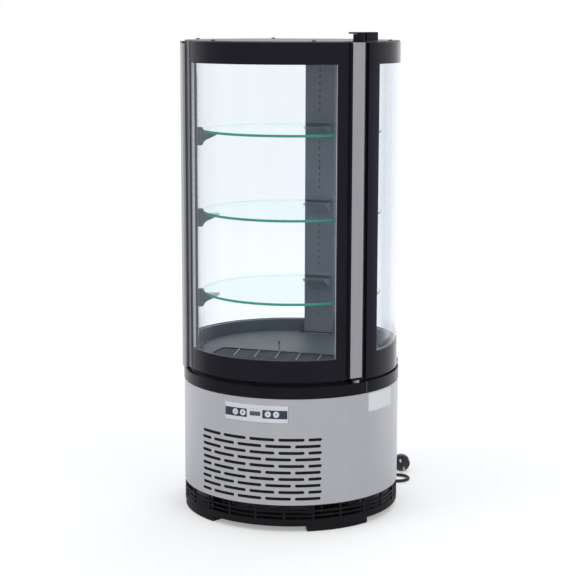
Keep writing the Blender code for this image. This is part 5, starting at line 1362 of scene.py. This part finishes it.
@dataclass
class Glazing:
    """Curved double glazing with a black print round its window."""

    edge: float = 0.0006
    butyl: float = 0.0014
    pores: int = 36

    def pane(
        self, make: Builder, name: str, node: str, span: tuple[float, float], radius: float,
        z: tuple[float, float],
        body: str, window: Optional[tuple[float, float, float, float]] = None,
    ) -> None:
        """One curved sheet of glass.

        Args:
            make: Makes the piece.
            name: The piece's name.
            node: The CAD node that it replaces.
            span: Its first and last angle.
            radius: The radius of its outer face.
            z: Its lower and upper edge.
            body: The body it rides on.
            window: The clear window in its print, as two angles and two heights.
        """
        inner = radius - GLASS_T
        cut = self.edge
        low, high = z
        stops = [span[0], span[1]]
        levels = [low + cut, high - cut]
        if window:
            stops = [span[0], window[0], window[1], span[1]]
            levels = [low + cut, window[2], window[3], high - cut]
        outline = [(radius, level) for level in levels]
        outline += [(radius - cut, high), (inner + cut, high)]
        outline += [(inner, level) for level in reversed(levels)]
        outline += [(inner + cut, low), (radius - cut, low)]
        bm = bmesh.new()
        sweep(bm, outline, stops)

        def choose(centre: Vector, normal: Vector) -> int:
            """The print where the face lies outside the window."""
            if not window:
                return 1 if abs(normal.z) > 0.3 else 0
            phi = angle_of(centre)
            clear = window[0] < phi < window[1] and window[2] < centre.z < window[3]
            behind = normal.dot(Vector((centre.x, centre.y, 0.0))) < 0
            return 0 if clear else 2 if behind else 1

        names = ("clear glass", "glass print", "print back") if window else ("clear glass", "clear edge")
        make.piece(
            name, bm, names, body, stands_for=[node], sharp=30.0, steady=True,
            choose=choose
        )

    def spacer(
        self, make: Builder, name: str, node: str, span: tuple[float, float], bars: tuple[float, float],
        z: tuple[float, float], body: str, foot: float = SPACER_BAR,
    ) -> None:
        """The frame between two sheets: a perforated metal profile with dark sealant behind it."""
        low_r = INNER_PANE_R + GAP
        high_r = GLASS_R - GLASS_T - GAP
        opening = (span[0] + bars[0], span[1] - bars[1], z[0] + foot, z[1] - SPACER_BAR)
        bm = bmesh.new()
        for inner, outer in ((low_r, low_r + self.butyl), (low_r + self.butyl, high_r)):
            sweep(bm, band(inner, outer, z[0], z[1]), (span[0], opening[0]))
            sweep(bm, band(inner, outer, z[0], z[1]), (opening[1], span[1]))
            sweep(bm, band(inner, outer, z[0], opening[2]), (opening[0], opening[1]))
            sweep(bm, band(inner, outer, opening[3], z[1]), (opening[0], opening[1]))
        frame = make.mesh_object(name, bm)

        def choose(centre: Vector, normal: Vector) -> int:
            """Bare metal towards the window, and dark sealant elsewhere."""
            outwards = Vector((centre.x, centre.y, 0.0)).normalized()
            facing = normal.dot(outwards)
            if facing < -0.7 or normal.z > 0.7:
                return 2
            if centre.xy.length < low_r + self.butyl:
                return 1
            phi = angle_of(centre)
            across = opening[0] - 0.2 < phi < opening[1] + 0.2
            upright = opening[2] - 0.001 < centre.z < opening[3] + 0.001
            return 0 if across and upright and abs(facing) < 0.7 else 1

        names = ("spacer aluminium", "seal rubber", "print back")
        make.dress(frame, names, body, [node], 30.0, True, choose)
        holes = bmesh.new()
        for side, phi in ((1, opening[0]), (-1, opening[1])):
            for index in range(self.pores):
                level = opening[2] + 0.008 + index * (opening[3] - opening[2] - 0.016) / (self.pores - 1)
                for radius in (low_r + 0.0028, high_r - 0.0028):
                    centre = polar(radius, phi + side * 0.012, level)
                    matrix = Matrix.Translation(centre) @ about_z(phi)
                    box(holes, (-0.00004, -0.0003, -0.0009), (0.00004, 0.0003, 0.0009), matrix)
        make.piece(name + "_pores", holes, "mark grey", body)

    def build(self, make: Builder) -> None:
        """Make the two fixed units and the door's unit."""
        fixed_z = (SEAT_Z + GAP, GLASS_TOP)
        for side, name in ((1, "right"), (-1, "left")):
            span = tuple(sorted((side * 61.0, side * 178.6)))
            clear = tuple(sorted((side * 69.2, side * 169.8)))
            window = (clear[0], clear[1], FIXED_PRINT_LOW, PRINT_TOP)
            self.pane(make, f"{name}_glass_out", f"{name}_outer_pane", span, GLASS_R, fixed_z, CASE, window)
            self.pane(make, f"{name}_glass_in", f"{name}_inner_pane", span, INNER_PANE_R, fixed_z, CASE)
            self.spacer(make, f"{name}_spacer_frame", f"{name}_spacer", span, (9.0, 9.0),
                        (fixed_z[0] + 0.001, GLASS_TOP - 0.001), CASE, FIXED_SPACER_FOOT)
        door_z = (DOOR_Z0, GLASS_TOP)
        span = (-57.0, 49.7)
        self.pane(
            make, "door_glass_out", "door_outer_pane", span, GLASS_R, door_z, DOOR,
            (-48.8, 42.1, PRINT_LOW, PRINT_TOP)
        )
        self.pane(make, "door_glass_in", "door_inner_pane", span, INNER_PANE_R, door_z, DOOR)
        self.spacer(
            make, "door_spacer_frame", "door_spacer", span, (6.4, 6.9),
            (DOOR_Z0 + 0.001, GLASS_TOP - 0.001), DOOR
        )


@dataclass
class Door:
    """The stiles, end pieces and gasket of the door."""

    round_r: float = 0.0030
    handle: tuple = (-59.3, -52.4)
    handle_web: float = 1.9
    groove: tuple = (0.2264, 0.4)
    # Painted reflection: the span of a grey strip over the print that stands in for light the print reflects.
    painted_reflection: tuple = (-52.8, -48.8)
    hinge: tuple = (49.1, 56.1)
    hinge_round: float = 0.0012
    steps: int = 6
    barrel_r: float = 0.0114
    barrel_h: float = 0.0156
    bore_r: float = 0.0039
    ribs: int = 18

    def stile(
        self, span: tuple[float, float], back: Iterable[tuple[float, float]], soft: float
    ) -> list[Point]:
        """The cross-section of a stile with round outer corners.

        Args:
            span: Its first and last angle.
            back: The (radius, angle) points of its back, from the last angle round to the first.
            soft: The radius of its outer corners.

        Returns:
            The (x, y) points.
        """
        turn = math.degrees(soft / STILE_R)
        corners = []
        for side, centre in ((-1, span[0] + turn), (1, span[1] - turn)):
            for step in range(self.steps + 1):
                share = step if side == 1 else self.steps - step
                angle = math.pi / 2 * share / self.steps
                radius = STILE_R - soft * (1 - math.cos(angle))
                corners.append((radius, centre + side * turn * math.sin(angle)))
            if side == -1:
                for part in range(1, 5):
                    corners.append((STILE_R, centre + (span[1] - span[0] - 2 * turn) * part / 5))
        return [tuple(polar(radius, phi).xy) for radius, phi in (*corners, *back)]

    def build(self, make: Builder) -> None:
        """Make the two stiles, the cap, a grey strip of painted reflection on the print beside the handle,
        the gasket and the barrel.
        """
        over = GLASS_R + 0.0006
        web = self.handle[0] + self.handle_web
        groove_r, groove_w = self.groove
        floor_phi = self.handle[1] - groove_w
        back = ((groove_r, self.handle[1]), (groove_r, floor_phi), (over, floor_phi),
                (over, (floor_phi + web) / 2),
                (over, web), (CHAMBER_R, web), (CHAMBER_R, self.handle[0]))
        outline = self.stile(self.handle, back, self.round_r)

        def choose(centre: Vector, normal: Vector) -> int:
            """Painted shade: the faces in the groove beside the glass get a dark finish for the shade of that
            recess, and bare metal elsewhere.
            """
            return 1 if centre.xy.length < groove_r + GAP and angle_of(centre) > floor_phi - 0.05 else 0

        cap_z = GLASS_TOP - 0.0038
        # The groove's faces take the dark grey finish as painted shade of the recess.
        for name, node, low, high, finish, slot in (
            ("handle", "handle_stile", DOOR_Z0, cap_z - GAP, "anodised aluminium", "aluminium_profile"),
            ("handle_end", "handle_cap", cap_z, GLASS_TOP, "black ring plastic", "black_plastic"),
        ):
            bm = bmesh.new()
            column_of(bm, outline, low, high)
            make.piece(
                name, bm, (finish, "dark grey plastic"), DOOR, stands_for=[node], sharp=32.0,
                choose=choose
            )
        # Painted reflection: a thin grey strip over the print between the handle and the window stands in for
        # light the glossy print reflects.
        painted_reflection = bmesh.new()
        sweep(
            painted_reflection, soft_band(GLASS_R + 0.0001, over, DOOR_Z0 + 0.0010, GLASS_TOP - 0.0010, 0.0002), self.painted_reflection
        )
        make.piece("handle_print_reflection", painted_reflection, "print reflection grey", DOOR, sharp=32.0, steady=True)
        back = ((CHAMBER_R, self.hinge[1]), (CHAMBER_R, sum(self.hinge) / 2), (CHAMBER_R, self.hinge[0]))
        outline = self.stile(self.hinge, back, self.hinge_round)

        def choose_side(centre: Vector, normal: Vector) -> int:
            """Dark rubber where the stile stands against the glass: a seal there, and painted shade on the
            side wall that stands out above it; bare metal elsewhere.
            """
            return 1 if angle_of(centre) < self.hinge[0] + 0.1 and centre.xy.length < STILE_R - 0.002 else 0

        # Painted shade: the side wall facing the door's glass is dark rubber, partly a seal and partly the
        # shade of the proud wall.
        bm = bmesh.new()
        column_of(bm, outline, HINGE_STILE_Z0, GLASS_TOP)
        make.piece("hinge_side_stile", bm, ("anodised aluminium", "seal rubber"), DOOR,
                   stands_for=["hinge_stile"], sharp=32.0, choose=choose_side)
        self.gasket(make)
        self.barrel(make)

    def gasket(self, make: Builder) -> None:
        """The bellows gasket round the back of the door."""
        land = COLLAR_R + 0.0006
        face = CHAMBER_R - 0.0006
        low, high = HINGE_STILE_Z0, 0.9600
        span = (-58.6, 54.4)
        bar = 2.6
        height = 0.0120
        bm = bmesh.new()
        mid = (land + face) / 2
        for z0, z1 in ((low, low + height), (high - height, high)):
            section = ((land, z0 + 0.0012), (land, z1 - 0.0012), (land + 0.0010, z1 - 0.0004),
                       (mid, z1 - 0.0022),
                       (mid + 0.0006, z1), (face, z1), (face, z0), (mid + 0.0006, z0), (mid, z0 + 0.0022),
                       (land + 0.0010, z0 + 0.0004))
            sweep(bm, section, span)
        for start in (span[0], span[1] - bar):
            section = band(land, face, low + height - 0.0002, high - height + 0.0002)
            sweep(bm, section, (start, start + bar), 0.65)
        make.piece("door_seal", bm, "seal rubber", DOOR, stands_for=["door_gasket"])

    def barrel(self, make: Builder) -> None:
        """The round ribbed barrel on top of the door, about the hinge's axis."""
        z0 = GLASS_TOP + GAP
        z1 = z0 + self.barrel_h
        profile = [(self.bore_r, z1 - 0.0090), (self.bore_r, z1 - 0.0004), (self.bore_r + 0.0004, z1),
                   (self.barrel_r - 0.0012, z1), (self.barrel_r - 0.0006, z1 - 0.0006),
                   (self.barrel_r - 0.0006, z0),
                   (0, z0), (0, z1 - 0.0090)]
        place = Matrix.Translation(polar(HINGE_R, HINGE_PHI))
        bm = bmesh.new()
        lathe(bm, profile, 72, False, place)
        barrel = make.mesh_object("hinge_top_barrel", bm)
        ribs = bmesh.new()
        for index in range(self.ribs):
            matrix = place @ Matrix.Rotation(math.tau * index / self.ribs, 4, "Z")
            box(
                ribs, (self.barrel_r - 0.0016, -0.0008, z0), (self.barrel_r, 0.0008, z1 - 0.0009), matrix,
                0.00025
            )
        make.cut(barrel, [ribs], "UNION")
        make.dress(barrel, "black ring plastic", DOOR, ["hinge_barrel"], 35.0)


@dataclass
class Hardware:
    """The hinge bracket over the door, with its pivot and its screws."""

    top: float = 0.9850

    def build(self, make: Builder) -> None:
        """Make the bracket and its sunk screws."""
        r0, r1 = 0.2020, 0.2222
        bar_z = self.top - 0.0032
        bm = bmesh.new()
        sweep(bm, soft_band(r0, r1, TOP_Z + GAP, self.top, 0.0005), (58.8, 67.0))
        bracket = make.mesh_object("hinge_top_bracket", bm)
        bar = bmesh.new()
        sweep(bar, soft_band(r0, r1, bar_z, self.top, 0.0004), (51.0, 59.8))
        pivot = bmesh.new()
        lathe(pivot, [(0, -0.0070), (0.0030, -0.0070), (0.0035, -0.0064), (0.0035, 0.0030), (0, 0.0030)],
              32, False,
              Matrix.Translation(polar(HINGE_R, HINGE_PHI, bar_z)))
        make.cut(bracket, [bar, pivot], "UNION")
        places = [polar(0.2125, phi, self.top - 0.0012) for phi in (61.0, 65.0)]
        recesses = bmesh.new()
        for place in places:
            rod(recesses, 0.0034, 0, 0.0030, 32, Matrix.Translation(place))
        make.cut(bracket, [recesses])
        make.dress(bracket, "black base plastic", CASE, ["hinge_bracket"], 35.0)
        screws = bmesh.new()
        for place in places:
            Screw(0.0028, 0.0011).add(screws, Matrix.Translation(place))
        make.piece("bracket_screws", screws, "black zinc")


@dataclass(frozen=True)
class Screw:
    """A pan-head screw with a cross recess."""

    radius: float
    height: float

    def add(self, bm: bmesh.types.BMesh, place: Matrix) -> None:
        """Add the head, which stands on its place's origin along +Z."""
        r, h = self.radius, self.height
        profile = [(0, -0.0001), (r * 1.05, -0.0001), (r, h * 0.35), (r * 0.86, h * 0.78), (r * 0.55, h),
                   (r * 0.40, h * 0.96),
                   (r * 0.30, h * 0.55), (0, h * 0.45)]
        lathe(bm, profile, 24, False, place)
        for turn in (0.0, math.pi / 2):
            matrix = place @ Matrix.Rotation(turn + 0.4, 4, "Z")
            box(bm, (-r * 0.62, -r * 0.10, h * 0.50), (r * 0.62, r * 0.10, h * 1.02), matrix)


@dataclass
class Roof:
    """The sheet on top with its screws."""

    radius: float = 0.2185
    sheet: float = 0.0015
    screw_r: float = 0.2060
    screws: tuple = (-150.0, -90.0, -30.0, 30.0, 90.0, 150.0)

    def build(self, make: Builder) -> None:
        """Make the sheet and its screws."""
        under = TOP_Z - self.sheet
        bm = bmesh.new()
        soft = 0.0004
        lathe(
            bm, [(0, TOP_Z), (self.radius - soft, TOP_Z), (self.radius, TOP_Z - soft), (self.radius, under),
                 (0, under)]
        )
        plate = make.mesh_object("roof_sheet", bm)
        notch = bmesh.new()
        sweep(notch, band(0.1995, GLASS_R + 0.01, under - 0.01, TOP_Z + 0.01), (51.2, 58.5))
        make.cut(plate, [notch])
        make.dress(plate, "top grey", CASE, ["top_plate"], 35.0, True)
        heads = bmesh.new()
        for phi in self.screws:
            Screw(0.0042, 0.0022).add(heads, Matrix.Translation(polar(self.screw_r, phi, TOP_Z)))
        make.piece("roof_screws", heads, "black zinc")


@dataclass
class Shelves:
    """Three round glass shelves with green polished edges."""

    radius: float = SHELF_R
    thick: float = SHELF_T
    tops: tuple = SHELF_TOPS
    bodies: tuple = ("upper_shelf", "middle_shelf", "lower_shelf")

    def build(self, make: Builder) -> None:
        """Make each shelf with a flat centre and a bevelled rim."""
        for number, (top, body) in enumerate(zip(self.tops, self.bodies), start=1):
            low = top - self.thick
            cut = 0.0008
            profile = [(0, top), (self.radius - cut, top), (self.radius, top - cut), (self.radius, low + cut),
                       (self.radius - cut, low), (0, low)]
            bm = bmesh.new()
            lathe(bm, profile)

            def choose(centre: Vector, normal: Vector) -> int:
                """The green edge on the rim."""
                return 0 if abs(normal.z) > 0.95 else 1

            make.piece(f"glass_shelf_{number}", bm, ("shelf glass", "green edge"), body,
                       stands_for=[f"shelf_{number}"], sharp=30.0, steady=True, choose=choose)


@dataclass
class Supports:
    """The two front posts and the rear column, each with its shelf clips."""

    face: float = 0.1956
    lip: float = 0.1985
    lip_turn: float = 1.1
    lamp: tuple = (64.6, 0.0080, 0.0015)
    lamp_z: tuple = (0.360, 0.900)
    behind: float = 0.2030
    web_r: float = 0.2165
    web: tuple = (59.7, 60.6)
    last: float = 66.2
    first: tuple = (("left", -1, 56.4), ("right", 1, 50.4))
    z: tuple = (0.2993, 0.9657)
    clip_phi: float = 60.4
    clip_w: float = 0.0130
    clip_h: float = 0.0366
    clip_above: float = 0.0048
    arm: float = 0.0335
    column_half: float = 0.0340
    column_face: float = 0.1886
    column_back: float = 0.1996
    column_wall: float = 0.0022
    column_round: float = 0.0050
    column_z: tuple = (0.3283, 0.9267)
    column_clip_w: float = 0.0500
    slot: tuple = (0.0024, 0.0052)
    slot_z: float = 0.3660
    slot_pitch: float = 0.0140
    slots: int = 39

    def build(self, make: Builder) -> None:
        """Make the posts and the column."""
        for name, side, first in self.first:
            self.post(make, name, side, first)
        self.column(make)

    def clip(self, phi: float, width: float, back: float, top: float) -> bmesh.types.BMesh:
        """One shelf clip: a back plate with round ends and a curved arm that tapers under the glass."""
        front = SHELF_R + 0.0004
        glass = top - SHELF_T - GAP
        high = top + self.clip_above
        low = high - self.clip_h
        tip = front - self.arm
        outline = [
            (back, high), (front + 0.0012, high), (front + 0.0004, high - 0.0005), (front, high - 0.0014),
            (front, glass),
            (tip + 0.0006, glass), (tip, glass - 0.0006), (tip, glass - 0.0022),
            (tip + 0.0010, glass - 0.0030),
            (front - 0.0250, glass - 0.0072), (front - 0.0150, glass - 0.0118),
            (front - 0.0080, glass - 0.0148),
            (front - 0.0040, glass - 0.0175), (front - 0.0015, glass - 0.0200),
            (front - 0.0002, glass - 0.0222),
            (front + 0.0004, low + 0.0028), (front + 0.0014, low + 0.0008), (front + 0.0030, low),
            (back, low),
        ]
        bm = bmesh.new()
        turn = about_z(phi)
        section = Matrix(((0, 0, 1, -width / 2), (-1, 0, 0, 0), (0, 1, 0, 0), (0, 0, 0, 1)))
        prism(bm, outline, Vector((0, 0, width)), None)
        bmesh.ops.transform(bm, matrix=turn @ section, verts=bm.verts)
        return bm

    def post(self, make: Builder, name: str, side: int, first: float) -> None:
        """One front post with its shelf clips and its lamp."""
        start = first + self.lip_turn
        corners = [
            (self.lip, start), (self.lip, (start + self.web[0]) / 2), (self.lip, self.web[0]),
            (self.web_r, self.web[0]),
            (self.web_r, self.web[1]), (self.behind, self.web[1]),
            (self.behind, (self.web[1] + self.last) / 2),
            (self.behind, self.last), (self.face, self.last), (self.face, 62.4), (self.lip, start),
        ]
        low, high = self.z
        bm = bmesh.new()
        outline = [tuple(polar(radius, side * phi).xy) for radius, phi in corners]
        column_of(bm, outline, low, high)
        post = make.mesh_object(f"front_post_{name}", bm)
        clips = [self.clip(side * self.clip_phi, self.clip_w, self.lip, top) for top in SHELF_TOPS]
        make.cut(post, clips, "UNION")

        def choose(centre: Vector, normal: Vector) -> int:
            """Black where the door closes on it, and grey elsewhere."""
            return 1 if normal.dot(Vector((centre.x, centre.y, 0.0)).normalized()) > 0.7 else 0

        make.dress(
            post, ("post grey", "black ring plastic"), CASE, [f"post_{name}"], 32.0,
            False, choose
        )
        phi, width, thick = self.lamp
        lamp = bmesh.new()
        turn = about_z(side * phi)
        low, high = self.lamp_z
        box(lamp, (-width / 2, -self.face - 0.0001, low), (width / 2, thick - self.face, high), turn)
        bmesh.ops.bevel(lamp, geom=lamp.edges[:], offset=0.0005, offset_type="OFFSET", segments=2,
                        profile=0.5,
                        affect="EDGES", material=-1)
        make.piece(
            f"post_lamp_{name}", lamp, "milky diffuser", stands_for=[f"lamp_{name}"],
            sharp=40.0
        )

    def column(self, make: Builder) -> None:
        """The channel at the back, with round front corners and a row of slots."""
        half, face, wall, ball = self.column_half, self.column_face, self.column_wall, self.column_round
        outline = [(-half, self.column_back)]
        for side in (-1, 1):
            for step in range(9):
                angle = math.pi / 2 * (step if side < 0 else 8 - step) / 8
                outline.append(
                    (side * (half - ball * (1 - math.cos(angle))), face + ball * (1 - math.sin(angle)))
                )
        outline += [(half, self.column_back), (half - wall, self.column_back)]
        for side in (1, -1):
            for step in range(5):
                angle = math.pi / 2 * (step if side > 0 else 4 - step) / 4
                outline.append((side * (half - wall - (ball - wall) * (1 - math.cos(angle))),
                                face + wall + (ball - wall) * (1 - math.sin(angle))))
        outline.append((wall - half, self.column_back))
        low, high = self.column_z
        bm = bmesh.new()
        column_of(bm, outline, low, high)
        column = make.mesh_object("back_column", bm)
        clips = [self.clip(180.0, self.column_clip_w, face + 0.001, top) for top in SHELF_TOPS]
        make.cut(column, clips, "UNION")
        slots = bmesh.new()
        width, tall = self.slot
        middles = [top + self.clip_above - self.clip_h / 2 for top in SHELF_TOPS]
        clear = self.clip_h / 2 + 0.008
        for index in range(self.slots):
            z = self.slot_z + index * self.slot_pitch
            if all(abs(z - middle) > clear for middle in middles):
                box(slots, (-width / 2, face - 0.004, z), (width / 2, face + wall + 0.001, z + tall))
        make.cut(column, [slots])
        make.dress(column, "column grey", CASE, ["rear_column"], 32.0)


@dataclass
class ChamberFloor:
    """The floor plate with its open front, across which thin slats run."""

    radius: float = 0.1846
    low: float = 0.3283
    top: float = 0.3303
    edge_y: float = -0.0450
    side_x: float = 0.1370
    corner_r: float = 0.0140
    rim: float = 0.0060
    slat_w: float = 0.0013
    slat_l: float = 0.0700
    slat_turn: float = 10.0
    slat_x: tuple = (-0.0990, -0.0543, -0.0096, 0.0351, 0.0798)
    column_half: float = 0.0368
    column_y: float = 0.1586
    probe_at: Point = (-0.0100, -0.0500)
    grille_x: tuple = (-0.045, 0.0, 0.045)
    grille_r: float = 0.1740
    bar_pitch: float = 0.0032

    def build(self, make: Builder) -> None:
        """Make the plate, its opening and its slats."""
        soft = 0.0006
        bm = bmesh.new()
        lathe(bm, [(0, self.top), (self.radius - soft, self.top),
                   (self.radius - soft * 0.3, self.top - soft * 0.3),
                   (self.radius, self.top - soft), (self.radius, self.low), (0, self.low)])
        plate = make.mesh_object("chamber_floor", bm)
        inner = self.radius - self.rim
        reach = math.degrees(math.asin(self.side_x / inner))
        outline = [tuple(polar(inner, reach * (step / 36 - 1)).xy) for step in range(73)]
        for turn, end in ((0, self.side_x - self.corner_r), (90, self.corner_r - self.side_x)):
            for step in range(9):
                angle = math.radians(turn + 90 * step / 8)
                outline.append(
                    (end + self.corner_r * math.cos(angle),
                     self.edge_y - self.corner_r * (1 - math.sin(angle)))
                )
        opening = bmesh.new()
        prism(opening, outline, Vector((0, 0, 0.02)), Matrix.Translation((0, 0, self.low - 0.01)))
        column = bmesh.new()
        box(
            column, (-self.column_half, self.column_y, self.low - 0.01),
            (self.column_half, self.radius + 0.01, self.top + 0.01)
        )
        make.cut(plate, [opening, column])
        make.dress(plate, "floor grey", CASE, ["floor_plate"], 35.0, True)
        slats = bmesh.new()
        for x in self.slat_x:
            length = min(self.slat_l, math.sqrt(inner**2 - x**2) + self.edge_y)
            turn = Matrix.Translation((x, self.edge_y + 0.001, 0)) @ about_z(self.slat_turn)
            box(
                slats, (-self.slat_w / 2, -length, self.low), (self.slat_w / 2, 0.0, self.top - 0.0002),
                turn, 0.0003
            )
        make.piece("floor_slats", slats, "anodised aluminium")
        self.grille(make)
        self.probe(make)

    def grille(self, make: Builder) -> None:
        """The fine bars across the three return slots of the tray."""
        bars = bmesh.new()
        for x in self.grille_x:
            reach = math.sqrt(self.grille_r**2 - (abs(x) + 0.0150) ** 2)
            for index in range(math.floor((reach - 0.0580) / self.bar_pitch)):
                y = -0.0588 - index * self.bar_pitch
                box(bars, (x - 0.0149, y - 0.0028, self.low - 0.0024), (x + 0.0149, y, self.low - 0.0005))
        make.piece("return_grille", bars, "shaded well")

    def probe(self, make: Builder) -> None:
        """The little temperature probe that stands at the edge of the opening."""
        foot = Vector((*self.probe_at, self.top))
        bm = bmesh.new()
        lathe(bm, [(0, -0.0040), (0.0030, -0.0040), (0.0030, -0.0032), (0.0012, -0.0024), (0.0009, 0.0150),
                   (0.0021, 0.0168),
                   (0.0023, 0.0206), (0.0017, 0.0228), (0, 0.0232)], 20, False, Matrix.Translation(foot))
        make.piece("floor_probe", bm, "dark grey plastic")


@dataclass
class ControlPanel:
    """The control panel with its print, buttons and display."""

    half: float = 17.0
    z0: float = 0.2233
    z1: float = 0.2580
    front: float = 0.2254
    thick: float = 0.0064
    buttons: tuple = (-10.95, -6.70, 6.70, 10.95)
    button_z: float = 0.2405
    button_r: float = 0.0062
    display_half: float = 2.75
    display_z: tuple = (0.2364, 0.2446)
    film: float = 0.00012
    button_gap: float = 0.0004
    slate_z: tuple = (0.2318, 0.2488)
    dots: tuple = (-2.05, -0.81, 0.84)
    dots_z: float = 0.2502

    def build(self, make: Builder) -> None:
        """Make the panel, its printed blocks, its buttons and its display."""
        back = self.front - self.thick
        pocket_r = self.button_r + self.button_gap
        bm = bmesh.new()
        sweep(bm, soft_band(back, self.front, self.z0, self.z1, 0.0004), (-self.half, self.half))
        panel = make.mesh_object("panel", bm)
        pockets = bmesh.new()
        for phi in self.buttons:
            stand = standing_out(phi, self.front, self.button_z)
            rod(pockets, pocket_r, -0.0050, 0.004, 48, stand)
        recess = bmesh.new()
        margin = math.degrees(GAP / STEEL_R)
        sweep(recess, band(self.front - 0.0016 - GAP, self.front + 0.004, self.display_z[0] - GAP,
                           self.display_z[1] + GAP),
              (-self.display_half - margin, self.display_half + margin))
        make.cut(panel, [pockets, recess])
        make.dress(panel, "panel film", CASE, ["control_panel"], 35.0, True)

        slate = bmesh.new()
        for low, high in ((-self.half + 0.05, -4.46), (3.90, 16.60)):
            sweep(slate, band(self.front + 0.00002, self.front + self.film, *self.slate_z), (low, high))
        blocks = make.mesh_object("panel_blocks", slate)
        holes = bmesh.new()
        for phi in self.buttons:
            stand = standing_out(phi, self.front, self.button_z)
            rod(holes, pocket_r, -0.002, 0.002, 48, stand)
        make.cut(blocks, [holes])
        make.dress(blocks, "panel slate", CASE, (), 35.0, True)
        dots = bmesh.new()
        for phi in self.dots:
            stand = standing_out(phi, self.front, self.dots_z)
            rod(dots, 0.0007, 0, self.film, 16, stand)
        make.piece("panel_dots", dots, "mark grey")
        self.display(make)
        for number, phi in enumerate(self.buttons, start=1):
            self.button(make, number, phi)

    def display(self, make: Builder) -> None:
        """The dark window with three unlit seven-segment digits."""
        bm = bmesh.new()
        sweep(
            bm, soft_band(self.front - 0.0016, self.front, *self.display_z, 0.0002),
            (-self.display_half, self.display_half), 0.6
        )
        make.piece(
            "display", bm, "display dark", stands_for=["display_window"], sharp=30.0,
            steady=True
        )
        digits = bmesh.new()
        middle = sum(self.display_z) / 2
        for centre in (-1.62, 0.0, 1.62):
            stand = turned_to(centre, self.front + 0.00001, middle)
            wide, tall, bar = 0.0015, 0.0027, 0.00055
            for x0, x1, y0, y1 in (
                (-wide, wide, tall - bar, tall), (-wide, wide, -bar / 2, bar / 2),
                (-wide, wide, -tall, -tall + bar),
                (-wide - bar, -wide, 0.0003, tall), (wide, wide + bar, 0.0003, tall),
                (-wide - bar, -wide, -tall, -0.0003), (wide, wide + bar, -tall, -0.0003),
            ):
                box(digits, (x0, -0.00006, y0), (x1, 0.0, y1), stand)
        make.piece("display_digits", digits, "digit grey")

    def button(self, make: Builder, number: int, phi: float) -> None:
        """One push button with a slightly hollow face and its mark."""
        body = f"button_{number}"
        stand = standing_out(phi, self.front, self.button_z)
        r = self.button_r
        bm = bmesh.new()
        lathe(bm, [(0, -0.0039), (r, -0.0039), (r, 0.0001), (r - 0.0002, 0.0005), (r - 0.0007, 0.0006),
                   (r * 0.6, 0.00045), (0, 0.0004)],
              48, False, stand)
        make.piece(
            f"push_button_{number}", bm, "button white", body, stands_for=[body],
            sharp=40.0
        )
        mark = bmesh.new()
        level = 0.00047
        rise = Vector((0, 0, 0.00008))
        place = stand @ Matrix.Translation((0, 0, level))
        if number == 1:
            lathe(mark, [(0.0013, 0.0), (0.0019, 0.0), (0.0019, 0.00008), (0.0013, 0.00008)], 24, True, place)
            prism(
                mark, [(-0.0003, 0.0007), (0.0003, 0.0007), (0.0003, 0.0028), (-0.0003, 0.0028)], rise, place
            )
        elif number == 2:
            rod(mark, 0.0016, 0.0, 0.00008, 24, place @ Matrix.Translation((0, 0.0006, 0)))
            prism(
                mark, [(-0.0008, -0.0024), (0.0008, -0.0024), (0.0008, -0.0014), (-0.0008, -0.0014)], rise,
                place
            )
        else:
            sign = 1 if number == 3 else -1
            points = [(-0.0021, -0.0011 * sign), (0.0021, -0.0011 * sign), (0.0, 0.0019 * sign)]
            prism(mark, points, rise, place)
        make.piece(f"button_mark_{number}", mark, "mark grey", body)


@dataclass
class Trim:
    """Small pieces on the outside: the blank plate, and the screws of the rear cover and the steel."""

    def build(self, make: Builder) -> None:
        """Make the plate at the right and the screws."""
        bm = bmesh.new()
        sweep(bm, band(STEEL_R + 0.00002, STEEL_R + 0.00022, 0.2320, 0.2690), (62.4, 84.0))
        make.piece("blank_plate", bm, "blank film", sharp=30.0, steady=True)
        screws = bmesh.new()
        for z in (0.3300, 0.4800, 0.6350, 0.7900, 0.9400):
            stand = standing_out(180.0, 0.2234, z)
            Screw(0.0030, 0.0012).add(screws, stand)
        for phi in (150.0, -150.0, -110.0, 110.0):
            stand = standing_out(phi, STEEL_R, 0.0610)
            Screw(0.0026, 0.0011).add(screws, stand)
        make.piece("rear_screws", screws, "nickel plate")


@dataclass
class Inside:
    """The finishes of the CAD nodes that stay as they are."""

    finishes: dict = field(default_factory=lambda: {
        "rear_cover": "black ring plastic", "insulated_tub": "white liner", "roof_core": "white liner",
        "floor_tray": "shaded well", "control_box": "dark grey plastic", "condenser_fan": "dark grey plastic",
        "evaporator_fan": "dark grey plastic", "condenser_motor": "motor case",
        "evaporator_motor": "motor case",
        "compressor": "compressor paint", "condenser_coil": "black fins", "evaporator_coil": "bare fins",
        "fan_shroud": "zinc coated sheet", "condensate_pan": "zinc coated sheet", "discharge_pipe": "copper",
        "suction_pipe": "copper", "drain_hose": "seal rubber", "pane_clip": "black ring plastic",
        "pivot_bush": "black ring plastic", "hinge_pin": "nickel plate",
    })

    def build(self, make: Builder, frame: dict) -> None:
        """Finish each node."""
        for node, finish in self.finishes.items():
            make.keep(frame["nodes"][node], finish)


def corners(bounds: tuple) -> list[list[float]]:
    """Two corners as plain lists."""
    return [list(map(float, corner)) for corner in bounds]


def main() -> None:
    """Build the looks of the case round its CAD model."""
    logging.basicConfig(level=logging.INFO, format="%(name)s %(message)s")
    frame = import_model()
    cad_box = corners(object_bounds())
    make = Builder(Finishes())
    Studio().build()
    MainsLead().build(make)
    for part in (BaseTray(), SteelWrap(), NeckRing(), Glazing(), Door(), Hardware(), Roof(), Shelves(),
                 Supports(), ChamberFloor(), ControlPanel(), Trim()):
        LOG.info("building %s", type(part).__name__)
        part.build(make)
    Inside().build(make, frame)
    LOG.info("%d pieces made", make.count)
    {"cad": cad_box, "visual": corners(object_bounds())}


if __name__ == "__main__":
    main()
